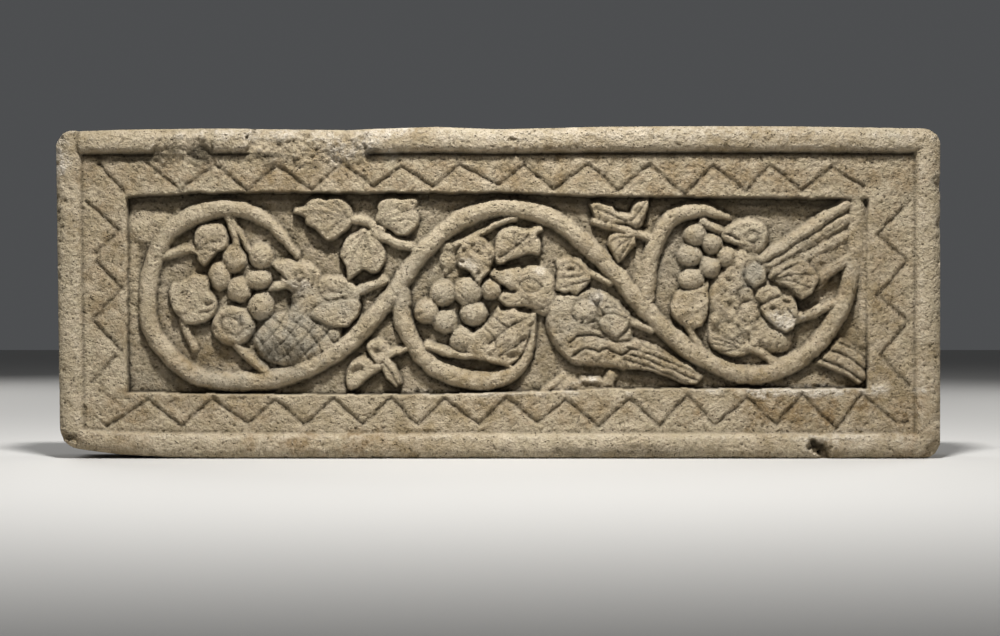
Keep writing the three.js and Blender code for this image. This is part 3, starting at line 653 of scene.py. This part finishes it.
FIELD_LEFT, FIELD_RIGHT = -371.5, 370
FIELD_FOOT = [(FIELD_LEFT, -100.5), (-240, -102.5), (-60, -102.5), (0, -100.5), (130, -96.5),
              (FIELD_RIGHT, -96.5)]
FIELD_HEAD = [(FIELD_LEFT, 95), (-300, 99.5), (0, 99.5), (100, 96), (200, 95), (FIELD_RIGHT, 93.5)]

ROLL_FOOT = 26.6       # the round ends this far in from the edge
FOOT_GROOVE = 27.4     # middle line of the cut along its foot
BUTT_SETBACK = 3.5     # the round at the left end stops short by this much
SHADOW_LINE = 28.2     # middle line of the painted shadow under the upper round
SHADOW_HALF = 3.4      # and its half width


def frame_height(x, y):
    """The half-round frame round the face, by the distance in from the edge."""
    from_end = HALF_LENGTH - np.abs(x)
    from_bed = HALF_HEIGHT - np.abs(y)
    butt = (x < 0) & (y > 0) & (from_end < 2 * ROLL - BUTT_SETBACK)
    inward = np.where(butt, from_end, np.minimum(from_end, from_bed))
    reach = np.clip(np.abs(ROLL - inward), 0, ROLL) / ROLL
    fullness = np.where(inward > ROLL, 3.4, 2.0)
    roll = ROLL_CENTRE + ROLL * np.sqrt(1 - reach ** fullness)
    under = (y > 0) & (from_bed < from_end)
    cut = np.clip(1 - np.abs(inward - FOOT_GROOVE) / 2.0, 0, 1)
    face = BORDER - np.where(under, 3.2, 0.7) * cut
    height = np.where(inward < ROLL_FOOT, np.maximum(roll, 9.5), face)
    joint = (x < 0) & (y > 0) & (from_bed < 2 * ROLL)
    seam = np.clip(1 - np.abs(from_end - 2 * ROLL + BUTT_SETBACK) / 1.8, 0, 1)
    return height - joint * 3.5 * seam


def broken_frame(x, y, height):
    """The upper frame's lost stretches: the round has come away and left a rough slope."""
    levels_at = [122, 129, 136, 143, 150, 157, 162, 167]
    stretches = [
        # from, to, and the levels left from the band up to the top edge
        (-342, -284, [13, 13, 13.6, 15.2, 18.5, 19.0, 16.5, 9]),
        (-249, -204, [13, 13.2, 14.5, 15.0, 14.5, 15.5, 14.0, 8]),
        (-208, -131, [13, 13.5, 14.5, 15.5, 17.0, 17.0, 14.5, 8]),
    ]
    for start, end, levels in stretches:
        ragged = 4.5 * noise(x, y, 9, int(-start)) + 2.5 * noise(x, y, 3.4, int(-end))
        gone = smoothstep((np.minimum(x - start, end - x) + ragged) / 3 + 0.5)
        gone = gone * smoothstep((y - 123) / 6)
        left = np.interp(y, levels_at, levels)
        left = left + 2.0 * rough(x, y, 12, int(-start) + 5) + 1.2 * rough(x, y, 4.5, int(-end), octaves=2)
        height = height * (1 - gone) + left * gone
    return height


HOLES = [
    # knocks and lost corners: middle, half sizes, depth
    ((319, -154), (9, 7.5), 15), ((326, -160), (7, 6), 9), ((440, 107), (6, 8), 5),
    ((441, 67), (5, 7), 4), ((14, 154), (4, 3), 3), ((18, 147), (2.2, 12), 2.5),
    ((-434, -154), (12, 7), 6), ((437, -158), (12, 9), 4),
    ((60, 165), (9, 3), 3), ((200, 165), (6, 3), 2.5), ((-432, 90), (3, 4), 2),
    ((-205, -130), (9, 4), 2), ((-330, -112), (11, 6), 2.2), ((-186, -128), (12, 4), 1.8),
    ((408, -130), (5, 3), 2.5), ((-260, -108), (10, 4), 1.8),
]


def knocked(x, y, height):
    """Holes and lost corners with broken edges."""
    fray = 0.35 * rough(x, y, 6, 611)
    for (cx, cy), (rx, ry), depth in HOLES:
        r = np.hypot((x - cx) / rx, (y - cy) / ry) + fray
        height = height - depth * smoothstep(1.4 - r) * np.clip(1.5 - r, 0, 1)
    return height


def border_and_frame(relief):
    """Heights and darkening of the band and the frame (painted shade and dirt), and how deep a point lies
    in the sunk field.
    """
    x, y = np.meshgrid(relief.xs, relief.ys)
    height = frame_height(x, y)
    shade_and_dirt = np.zeros(x.shape)
    for lines, width, deep in ((ZIGZAGS, 6.4, 3.4), (FAINT_ZIGZAGS, 4.8, 1.3)):
        for points in lines:
            share = zigzag(relief, points, width)
            height -= deep * share
            # the zigzag cuts are darkened: painted shade and dirt
            shade_and_dirt = np.maximum(shade_and_dirt, 0.16 * deep * share)
    height = broken_frame(x, y, height)
    # painted shadow: a dark strip along the band just under the upper round
    under_roll = np.clip(1 - np.abs(HALF_HEIGHT - y - SHADOW_LINE) / SHADOW_HALF, 0, 1)
    under_roll = under_roll * (height < BORDER + 0.5)
    shade_and_dirt = np.maximum(shade_and_dirt, 0.85 * under_roll * (np.abs(x) < HALF_LENGTH - 2 * ROLL))
    height = knocked(x, y, height)
    depth = depth_in_field(x, y)
    return np.where(depth > 0, -40, height), depth, shade_and_dirt


def zigzag(relief, points, width):
    """A V cut along the line: 1 at its bottom, 0 at its edges."""
    line = np.asarray(points, float)
    where, wx, wy = relief.window(line, width)
    d, _ = distance_along(wx, wy, line)
    cut = np.zeros(relief.x.shape)
    cut[where] = np.clip(1 - d / (width / 2), 0, 1)
    return cut


def depth_in_field(x, y):
    """Depth inside the sunk field, whose edges are nearly straight."""
    lower = np.interp(x, *np.transpose(FIELD_FOOT))
    upper = np.interp(x, *np.transpose(FIELD_HEAD))
    wobble = 0.7 * noise(x, y, 14, 77)
    from_ends = np.minimum(x - FIELD_LEFT, FIELD_RIGHT - x)
    return np.minimum(from_ends, np.minimum(y - lower, upper - y)) + wobble


def sloped(height):
    """Leaves a steep bank on the upper side of every mass, where the chisel came in from above."""
    banked = height
    for reach in range(1, 10):
        below = np.vstack([np.repeat(height[:1], reach, axis=0), height[:-reach]])
        banked = np.maximum(banked, below - 1.7 * reach * GRID_STEP)
    return banked


def carve_face(xs, ys):
    """The whole face, from the lowest forms to those that lie over them: heights, and darkening (painted
    shade and dirt).
    """
    relief = Relief(xs, ys)
    carve_left_bird(relief)
    carve_right_bird(relief)
    carve_right_wing(relief)
    carve_middle_bird(relief)
    carve_grapes(relief)
    carve_left_loop(relief)
    carve_leaf_over_left_bird(relief)
    carve_upper_trefoil(relief)
    carve_lower_trefoil(relief)
    carve_right_trefoil(relief)
    carve_middle_loop(relief)
    carve_leaves_by_middle_bird(relief)
    carve_foot_stump(relief)
    carve_leaves_by_right_bird(relief)
    carve_right_tail(relief)
    carve_vine(relief)
    for middle, half, rise in SWELLS:
        relief.swell(middle, half, rise)
    x, y = np.meshgrid(xs, ys)
    ground = relief.ground + 0.8 * rough(x, y, 14, 401)
    field = sloped(soft_max(ground, relief.mass, 1.6))
    border, inside, shade_and_dirt = border_and_frame(relief)
    return np.where(inside > 0, field, border), np.where(inside > 0, relief.shade_and_dirt, shade_and_dirt)


def weather(x, y, height):
    """Rounds the arrises, then gives the stone its tooling, grain, pits and small chips."""
    height = blurred(height, 1)
    height = height + 0.5 * rough(x, y, 10, 501) + 0.5 * rough(x, y, 3.8, 502, octaves=2)
    height = pecked(x, y, height)
    height = pitted(x, y, height)
    return height


def scatter_cuts(x, y, height, count, seed, length, width, depth, turn, spread):
    """Small elliptical cuts strewn over the face, each with its own size and direction."""
    random = np.random.default_rng(seed)
    xs, ys = x[0], y[:, 0]
    for _ in range(count):
        cx = random.uniform(-HALF_LENGTH, HALF_LENGTH)
        cy = random.uniform(-HALF_HEIGHT, HALF_HEIGHT)
        half = random.uniform(*length) / 2
        narrow = random.uniform(*width) / 2
        sunk = random.uniform(*depth)
        angle = math.radians(turn + random.normal(0, spread))
        i0, i1 = np.searchsorted(ys, [cy - half, cy + half])
        j0, j1 = np.searchsorted(xs, [cx - half, cx + half])
        where = (slice(i0, i1), slice(j0, j1))
        dx, dy = x[where] - cx, y[where] - cy
        u = (dx * math.cos(angle) + dy * math.sin(angle)) / half
        v = (dy * math.cos(angle) - dx * math.sin(angle)) / narrow
        height[where] -= sunk * np.clip(1 - u * u - v * v, 0, 1)
    return height


def pecked(x, y, height):
    """Short strokes left by the point and the claw."""
    return scatter_cuts(x, y, height, 9000, 61, (3, 8), (1.5, 2.6), (0.3, 0.95), 12, 30)


def pitted(x, y, height):
    """The open pores of a shelly limestone, and a few knocks."""
    height = scatter_cuts(x, y, height, 6500, 62, (1.6, 3.8), (1.4, 2.6), (0.6, 1.6), 0, 50)
    return scatter_cuts(x, y, height, 170, 63, (4, 9), (2.5, 5), (0.8, 2.2), 0, 90)


def blurred(z, passes):
    """A binomial blur, one grid step wide for each pass."""
    for _ in range(passes):
        z = np.pad(z, 1, mode="edge")
        z = (z[:-2] + 2 * z[1:-1] + z[2:]) / 4
        z = (z[:, :-2] + 2 * z[:, 1:-1] + z[:, 2:]) / 4
    return z


def box_blurred(z, reach):
    """Three running means, close to a wide Gaussian."""
    for axis in (0, 1, 0, 1, 0, 1):
        pad = [(0, 0), (0, 0)]
        pad[axis] = (reach + 1, reach)
        run = np.cumsum(np.pad(z, pad, mode="edge"), axis=axis)
        ahead = np.take(run, range(2 * reach + 1, run.shape[axis]), axis=axis)
        behind = np.take(run, range(0, run.shape[axis] - 2 * reach - 1), axis=axis)
        z = (ahead - behind) / (2 * reach + 1)
    return z


# --------------------------------------------------------------------------------------------
# Patina and painted shade: what has gathered where, and where shade and highlight are painted
# --------------------------------------------------------------------------------------------

# each patch's middle, half sizes and strength
# brown: stains, with painted shade darkening the upper band under the round
BROWN_STAINS_AND_SHADE = [
    ((-400, -150), (60, 12), 0.5), ((-150, -152), (70, 10), 0.8), ((-330, -115), (60, 14), 0.6),
    ((60, -118), (60, 12), 0.5), ((300, -118), (70, 14), 0.9), ((420, -130), (25, 40), 0.6),
    ((395, 20), (18, 90), 0.4), ((-392, 20), (18, 80), 0.5), ((-60, 112), (200, 12), 0.3),
    ((60, 140), (120, 8), 0.4), ((-150, 116), (260, 14), 0.5), ((250, 116), (200, 14), 0.6),
    ((120, -60), (30, 20), 0.4), ((-300, -50), (30, 30), 0.4), ((330, 0), (20, 60), 0.4),
]
# dark patches, all painted shade: the upper round's underside and broken hollows, under the left bird's
# head, its lower body, and the lower round's underside
PAINTED_SHADE_PATCHES = [
    ((-372, 136), (38, 4), 0.75), ((-297, 140), (9, 7), 0.8), ((-322, 145), (9, 5), 0.5),
    ((-228, 138), (15, 4), 0.75), ((-128, 141), (9, 6), 0.75), ((380, 140), (26, 4), 0.6),
    ((-215, -60), (22, 12), 0.5), ((-215, -6), (16, 6), 0.6),
    ((110, -158), (90, 5), 0.4),
]
# pale: wear, with painted highlight on the upward faces of both rounds and the field's lower edge
PALE_WEAR_AND_HIGHLIGHT = [
    ((-438, 132), (8, 22), 0.8), ((-230, 160), (70, 6), 0.5), ((-150, 145), (34, 10), 0.6),
    ((-100, 162), (30, 6), 0.7), ((293, -30), (12, 9), 0.9), ((92, -88), (12, 4), 0.9),
    ((300, -99), (90, 4), 0.8), ((0, -101), (80, 3), 0.5), ((-200, 8), (10, 8), 0.5),
    ((99, -6), (5, 5), 0.8), ((42, 21), (4, 4), 0.8), ((-35, 28), (8, 5), 0.7),
    ((330, -148), (60, 8), 0.3), ((100, 160), (300, 6), 0.3),
]
GREY_PATCHES = [
    ((-212, -45), (40, 30), 0.9), ((90, -30), (38, 28), 0.5), ((258, 14), (14, 14), 0.9),
    ((-160, -12), (24, 18), 0.6), ((200, 40), (34, 30), 0.4), ((-40, -15), (40, 36), 0.4),
    ((-280, -88), (60, 12), 0.5), ((300, 40), (50, 24), 0.3), ((-90, 5), (24, 30), 0.4),
]


def patches(x, y, spots, ragged, seed):
    """Soft-edged patches broken up by noise, from 0 to 1."""
    total = np.zeros(x.shape)
    fray = ragged * rough(x, y, 14, seed)
    for (cx, cy), (rx, ry), strength in spots:
        r = np.hypot((x - cx) / rx, (y - cy) / ry)
        total = np.maximum(total, strength * smoothstep(1.5 - r + fray))
    return total


def shadowed_from_above(height):
    """How far a point lies in the shadow of what stands above it, for a light about 53 degrees up: painted
    shadow.
    """
    shadow_depth = np.zeros(height.shape)
    for reach in range(3, 13, 2):
        above = np.vstack([height[reach:], np.repeat(height[-1:], reach, axis=0)])
        shadow_depth = np.maximum(shadow_depth, above - height - 0.75 * reach * GRID_STEP)
    return smoothstep(blurred(shadow_depth, 2) / 5)


def patina_and_shade(x, y, height, shade_and_dirt):
    """Per point: how deep it hides (painted shade and dirt), brown stain with painted shade, pale wear
    with painted highlight, and grey weathering.
    """
    wide = box_blurred(height, round(3.0 / GRID_STEP))
    fine = blurred(height, 3)
    # darker in hollows and creases: painted shade and dirt
    hidden = np.clip((wide - height) / 6, 0, 1) * 0.55 + np.clip((fine - height) / 0.8, 0, 1) * 0.35
    # darker on the low ground: painted shade and dirt
    hidden = hidden + 0.24 * smoothstep(1 - height / GROUND_SHADE_AND_DIRT)
    proud = np.clip((height - wide) / 2.5, 0, 1)
    # painted shadow below every mass, joined with the darkened cuts and ditches (painted shade and dirt)
    hidden = np.maximum(np.maximum(hidden, shade_and_dirt), 0.75 * shadowed_from_above(height))
    # dark patches of painted shade
    hidden = np.clip(np.maximum(hidden, patches(x, y, PAINTED_SHADE_PATCHES, 0.5, 801)), 0, 1)
    # brown stains, with painted shade on the upper band
    brown = patches(x, y, BROWN_STAINS_AND_SHADE, 0.9, 802)
    # pale wear with painted highlight, and wear on the highest crests
    pale = np.clip(patches(x, y, PALE_WEAR_AND_HIGHLIGHT, 0.8, 803) + 0.35 * proud * (height > 16), 0, 1)
    grey = patches(x, y, GREY_PATCHES, 0.5, 804)
    return np.stack([hidden, brown, pale, grey], axis=-1)


# --------------------------------------------------------------------------------------------
# The block as a mesh
# --------------------------------------------------------------------------------------------

def across(half, share):
    """Where a grid line lies, for a share from -1 to 1 of the way over the face and its rolls."""
    quarter = ROLL * math.pi / 2
    developed = half - ROLL + quarter
    run = (1 - np.abs(share)) * developed
    near_edge = ROLL * (1 - np.cos(np.clip(run / ROLL, 0, math.pi / 2)))
    from_edge = np.where(run < quarter, near_edge, ROLL + run - quarter)
    return np.sign(share) * (half - from_edge)


def outline_shift(x, y):
    """Draws the true rectangle in to the worn outline: leaning end, rounded corners, worn beds."""
    corner = 17.0
    dx = np.clip(np.abs(x) - (HALF_LENGTH - corner), 0, None)
    dy = np.clip(np.abs(y) - (HALF_HEIGHT - corner), 0, None)
    reach = np.hypot(dx, dy)
    scale = np.where(reach > 0, np.maximum(dx, dy) / np.maximum(reach, 1e-9), 1.0)
    x = np.sign(x) * (np.abs(x) - dx * (1 - scale))
    y = np.sign(y) * (np.abs(y) - dy * (1 - scale))
    left = smoothstep((-x - 380) / 60)
    x = x + left * 4.5 * (HALF_HEIGHT - y) / HEIGHT
    top = smoothstep((y - 120) / 45)
    bed_x = [-443, -424, -380, -300, -150, -60, 0, 100, 200, 300, 420, 443]
    top_fall = [6.5, 5.5, 4, 2.5, 4, 1, 3.5, 1, 0.3, 0.6, 2.5, 3]
    y = y - top * np.interp(x, bed_x, top_fall)
    bottom = smoothstep((-y - 120) / 45)
    foot_x = [-443, -430, -415, -380, -330, -300, 443]
    foot_rise = [13, 11, 8.5, 4, 1, 0, 0]
    y = y + bottom * np.interp(x, foot_x, foot_rise)
    return x, y


def to_world(x, y, z):
    """From the carving's own frame to the panel's place: x, into the wall, up, in metres."""
    return np.stack([x, FRONT_Y + CROWN - z, y + HALF_HEIGHT], axis=-1) * MM


def sculpted_face():
    """A fine grid laid over the face, given the carving's height and thinned."""
    quarter = ROLL * math.pi / 2
    columns = round(2 * (HALF_LENGTH - ROLL + quarter) / GRID_STEP)
    rows = round(2 * (HALF_HEIGHT - ROLL + quarter) / GRID_STEP)
    bm = bmesh.new()
    bmesh.ops.create_grid(bm, x_segments=columns, y_segments=rows, size=1.0)
    mesh = bpy.data.meshes.new("carved_stone")
    bm.to_mesh(mesh)
    bm.free()

    share = np.empty(len(mesh.vertices) * 3)
    mesh.vertices.foreach_get("co", share)
    share = share.reshape(-1, 3)
    column = np.rint((share[:, 0] + 1) / 2 * columns).astype(int)
    row = np.rint((share[:, 1] + 1) / 2 * rows).astype(int)
    xs = across(HALF_LENGTH, np.linspace(-1, 1, columns + 1))
    ys = across(HALF_HEIGHT, np.linspace(-1, 1, rows + 1))

    height, shade_and_dirt = carve_face(xs, ys)
    x, y = np.meshgrid(xs, ys)
    height = weather(x, y, height)
    edge = np.minimum(HALF_LENGTH - np.abs(x), HALF_HEIGHT - np.abs(y))
    height = np.minimum(height, CROWN - 0.15)
    height = np.where(edge < 0.05, np.minimum(height, ROLL_CENTRE), height)
    px, py = outline_shift(x, y)
    places = to_world(px, py, height)[row, column]
    mesh.vertices.foreach_set("co", places.ravel())
    colours = mesh.attributes.new("patina_and_shade", "FLOAT_COLOR", "POINT")
    colours.data.foreach_set("color", patina_and_shade(x, y, height, shade_and_dirt)[row, column].ravel())
    mesh.update()
    return mesh


def thinned(mesh, triangles):
    """The same surface with fewer triangles, spent where it bends most."""
    obj = bpy.data.objects.new("thinning", mesh)
    bpy.context.scene.collection.objects.link(obj)
    decimate = obj.modifiers.new("thin", "DECIMATE")
    decimate.ratio = triangles / (2 * len(mesh.polygons))
    baked = bpy.data.meshes.new_from_object(obj.evaluated_get(bpy.context.evaluated_depsgraph_get()))
    bpy.data.objects.remove(obj)
    return baked


def close_block(mesh):
    """Draws the face's rim back along the sides in steps and closes it with a rough-hewn back."""
    bm = bmesh.new()
    bm.from_mesh(mesh)
    patina_and_shade_layer = bm.verts.layers.float_color["patina_and_shade"]
    rim = [e for e in bm.edges if e.is_boundary]
    side = []
    for steps_left in range(SIDE_RINGS, 0, -1):
        ring = bmesh.ops.extrude_edge_only(bm, edges=rim)["geom"]
        rim = [g for g in ring if isinstance(g, bmesh.types.BMEdge) and g.is_boundary]
        for v in (g for g in ring if isinstance(g, bmesh.types.BMVert)):
            v.co.y += ((BACK_Y - SIDE_SHORT) * MM - v.co.y) / steps_left
            side.append(v)
    along, up = BACK_GRID
    back = bmesh.ops.create_grid(bm, x_segments=along, y_segments=up, size=1.0)["verts"]
    back_rim = list({e for v in back for e in v.link_edges if e.is_boundary})
    for v in back:
        x, z = v.co.x * (HALF_LENGTH - BACK_MARGIN), v.co.y * (HALF_HEIGHT - BACK_MARGIN)
        v.co = Vector((x, BACK_Y, z + HALF_HEIGHT)) * MM
        v.co.x += BACK_OFFSET * MM
    bmesh.ops.bridge_loops(bm, edges=rim + back_rim)
    for v in side + back:
        dress(v, v.co.y > (BACK_Y - 1) * MM)
        v[patina_and_shade_layer] = weathering_of(v.co)
    bmesh.ops.triangulate(bm, faces=[f for f in bm.faces if len(f.verts) > 3])
    bmesh.ops.recalc_face_normals(bm, faces=bm.faces)
    bm.to_mesh(mesh)
    bm.free()
    return mesh


def dress(v, on_back):
    """Roughens a hidden side inwards: pecked sides, and a coarser, hacked back."""
    place = v.co / MM
    lump = 0.5 + 0.5 * value_noise.noise(place / 17)
    peck = 0.5 + 0.5 * value_noise.noise(place / 5)
    if on_back:
        furrow = 0.5 + 0.5 * math.sin((place.x + place.z * 0.6) / 5 + 4 * value_noise.noise(place / 40))
        v.co.y -= (1.6 * lump + 0.7 * peck + 0.6 * furrow) * MM
        return
    inward = (0.9 * lump + 0.7 * peck) * min(1, (place.y - FRONT_Y - ROLL) / 6) * MM
    if abs(place.x) > HALF_LENGTH - 12:
        v.co.x -= math.copysign(inward, place.x)
    elif place.z > HALF_HEIGHT:
        v.co.z -= inward


def weathering_of(place):
    """Patina of the hidden sides: a little dirt, brown in clouds, hardly any wear."""
    cloud = value_noise.noise(place / 0.05)
    return (0.1 + 0.1 * cloud, max(0, cloud) * 0.7, 0.1, 0.3 + 0.3 * value_noise.noise(place / 0.09))


# --------------------------------------------------------------------------------------------
# Stone
# --------------------------------------------------------------------------------------------

def linear(hex_colour):
    channels = [int(hex_colour[i:i + 2], 16) / 255 for i in (0, 2, 4)]
    return [c / 12.92 if c <= 0.04045 else ((c + 0.055) / 1.055) ** 2.4 for c in channels] + [1.0]


def add_node(tree, kind, inputs=None, **settings):
    """Adds a node, sets its properties and its inputs; an input may be a socket to link from."""
    node = tree.nodes.new(kind)
    for name, value in settings.items():
        setattr(node, name, value)
    for key, value in (inputs or {}).items():
        if isinstance(value, bpy.types.NodeSocket):
            tree.links.new(value, node.inputs[key])
        else:
            node.inputs[key].default_value = value
    return node


def limestone():
    """Buff shelly limestone, hand carved and weathered: matt, open-pored, dirt and painted shade in the
    hollows.
    """
    material = bpy.data.materials.new("buff_limestone_carved_weathered")
    material.use_nodes = True
    tree = material.node_tree
    tree.nodes.clear()
    where = add_node(tree, "ShaderNodeTexCoord").outputs["Object"]
    held = add_node(tree, "ShaderNodeAttribute", attribute_name="patina_and_shade")
    share = add_node(tree, "ShaderNodeSeparateColor", {"Color": held.outputs["Color"]})

    coats = [
        # colour, how much of it, and its clouds: size in millimetres, detail, roughness, and
        # the levels at which the coat begins and is whole
        ("ada086", 1.0, 70, 5.0, 0.6, 0.35, 0.65),
        ("bdae95", 1.0, 18, 6.0, 0.65, 0.42, 0.68),
        ("84745b", 0.5, 9, 4.0, 0.6, 0.5, 0.75),
        # the brown coat: stains, and painted shade on the upper band
        ("806947", share.outputs["Green"], 12, 6.0, 0.7, 0.35, 0.6),
        ("98907f", held.outputs["Alpha"], 16, 5.0, 0.6, 0.3, 0.55),
        # the pale coat: wear, and painted highlight
        ("d6ccbc", share.outputs["Blue"], 7, 6.0, 0.7, 0.38, 0.6),
        ("62543f", 0.5, 3.0, 4.0, 0.7, 0.54, 0.72),
        ("cfc3ad", 0.5, 4.0, 5.0, 0.75, 0.56, 0.74),
    ]
    tone = linear("907f61")
    for colour, amount, size, detail, roughness, begins, whole in coats:
        clouds = add_node(tree, "ShaderNodeTexNoise", {
            "Vector": where, "Scale": 1 / MM / size, "Detail": detail, "Roughness": roughness})
        cover = add_node(tree, "ShaderNodeMapRange", {
            "Value": clouds.outputs["Fac"], "From Min": begins, "From Max": whole})
        factor = add_node(tree, "ShaderNodeMath", {0: amount, 1: cover.outputs["Result"]},
                          operation="MULTIPLY").outputs["Value"]
        tone = add_node(tree, "ShaderNodeMix", {0: factor, 6: tone, 7: linear(colour)},
                        data_type="RGBA").outputs[2]

    # pores: round cells, open only where they crowd together
    cells = add_node(tree, "ShaderNodeTexVoronoi", {"Vector": where, "Scale": 1 / MM / 3.4})
    open_cells = add_node(tree, "ShaderNodeMapRange", {
        "Value": cells.outputs["Distance"], "From Min": 0.30, "From Max": 0.12})
    crowds = add_node(tree, "ShaderNodeTexNoise", {
        "Vector": where, "Scale": 1 / MM / 5.5, "Detail": 2.0, "Roughness": 0.6})
    crowded = add_node(tree, "ShaderNodeMapRange", {
        "Value": crowds.outputs["Fac"], "From Min": 0.52, "From Max": 0.62})
    pore = add_node(tree, "ShaderNodeMath", {
        0: open_cells.outputs["Result"], 1: crowded.outputs["Result"]}, operation="MULTIPLY")
    pore_depth = add_node(tree, "ShaderNodeMath", {0: pore.outputs["Value"], 1: 0.8},
                          operation="MULTIPLY").outputs["Value"]
    # pores, then the first patina share: painted shade and dirt, near black
    for factor, colour in ((pore_depth, "3f3423"), (share.outputs["Red"], "2b2417")):
        tone = add_node(tree, "ShaderNodeMix", {0: factor, 6: tone, 7: linear(colour)},
                        data_type="RGBA").outputs[2]

    rise = 0.0
    for size, roughness, amount in ((2.6, 0.7, 1.0), (7.0, 0.6, 1.5)):
        lumps = add_node(tree, "ShaderNodeTexNoise", {
            "Vector": where, "Scale": 1 / MM / size, "Detail": 3.0, "Roughness": roughness})
        part = add_node(tree, "ShaderNodeMath", {0: lumps.outputs["Fac"], 1: amount},
                        operation="MULTIPLY").outputs["Value"]
        rise = add_node(tree, "ShaderNodeMath", {0: rise, 1: part}, operation="ADD").outputs["Value"]
    rise = add_node(tree, "ShaderNodeMath", {0: rise, 1: pore_depth},
                    operation="SUBTRACT").outputs["Value"]
    bump = add_node(tree, "ShaderNodeBump", {"Height": rise, "Strength": 1.0, "Distance": 0.003})
    shader = add_node(tree, "ShaderNodeBsdfPrincipled", {
        "Base Color": tone, "Roughness": 0.93, "IOR": 1.5, "Specular IOR Level": 0.25,
        "Normal": bump.outputs["Normal"],
    })
    add_node(tree, "ShaderNodeOutputMaterial", {"Surface": shader.outputs["BSDF"]})
    return material


# --------------------------------------------------------------------------------------------
# Scene
# --------------------------------------------------------------------------------------------

FLOOR_REACH = 8.0      # metres from the panel to the floor's edges
DAYLIGHT = 0.12        # strength of the light from all round
LIGHTS = [
    # name, place and size in metres, power in watts, spread in degrees
    ("key", (0.03, -1.02, 1.86), 0.28, 18, 90),
    ("fill", (-1.6, -2.6, 1.0), 1.6, 1.5, 180),
    ("back_left", (-1.5, 2.2, 1.6), 1.6, 30, 180),
    ("back_right", (1.8, 1.6, 1.2), 1.6, 22, 180),
]


def floor():
    """A plain pale floor under the panel."""
    bm = bmesh.new()
    bmesh.ops.create_grid(bm, x_segments=1, y_segments=1, size=FLOOR_REACH)
    mesh = bpy.data.meshes.new("floor")
    bm.to_mesh(mesh)
    bm.free()
    obj = bpy.data.objects.new("floor", mesh)
    bpy.context.scene.collection.objects.link(obj)
    material = bpy.data.materials.new("pale_floor")
    material.use_nodes = True
    shader = material.node_tree.nodes["Principled BSDF"]
    shader.inputs["Base Color"].default_value = linear("bdbbb7")
    shader.inputs["Roughness"].default_value = 0.8
    mesh.materials.append(material)


def area_light(name, place, size, power, spread):
    """A round white lamp turned to the panel's middle."""
    data = bpy.data.lights.new(name, "AREA")
    data.shape = "DISK"
    data.size = size
    data.spread = math.radians(spread)
    data.energy = power
    obj = bpy.data.objects.new(name, data)
    obj.location = place
    middle = Vector((0, 0, HALF_HEIGHT * MM))
    obj.rotation_euler = (middle - Vector(place)).to_track_quat("-Z", "Y").to_euler()
    bpy.context.scene.collection.objects.link(obj)


def camera():
    """Square on, a little below the panel's middle, through a long lens."""
    view_width = 1.0
    aside, below = 0.002, 0.026
    data = bpy.data.cameras.new("camera")
    data.lens = 85
    data.sensor_width = 36
    obj = bpy.data.objects.new("camera", data)
    away = view_width * data.lens / data.sensor_width
    obj.location = (aside, LOW[1] - away, HALF_HEIGHT * MM - below)
    obj.rotation_euler = (math.pi / 2, 0, 0)
    bpy.context.scene.collection.objects.link(obj)
    bpy.context.scene.camera = obj


camera()
floor()
for light in LIGHTS:
    area_light(*light)

world = bpy.data.worlds.new("studio")
world.use_nodes = True
world.node_tree.nodes["Background"].inputs["Color"].default_value = linear("cfd2d6")
world.node_tree.nodes["Background"].inputs["Strength"].default_value = DAYLIGHT
bpy.context.scene.world = world
bpy.context.scene.view_settings.view_transform = "Standard"

stone_mesh = close_block(thinned(sculpted_face(), TRIANGLES))
stone_mesh.polygons.foreach_set("use_smooth", [True] * len(stone_mesh.polygons))
stone_mesh.materials.clear()
stone_mesh.materials.append(limestone())
stone = bpy.data.objects.new("carved_stone", stone_mesh)
bpy.context.scene.collection.objects.link(stone)
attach(stone, "root")
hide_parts("relief_panel")
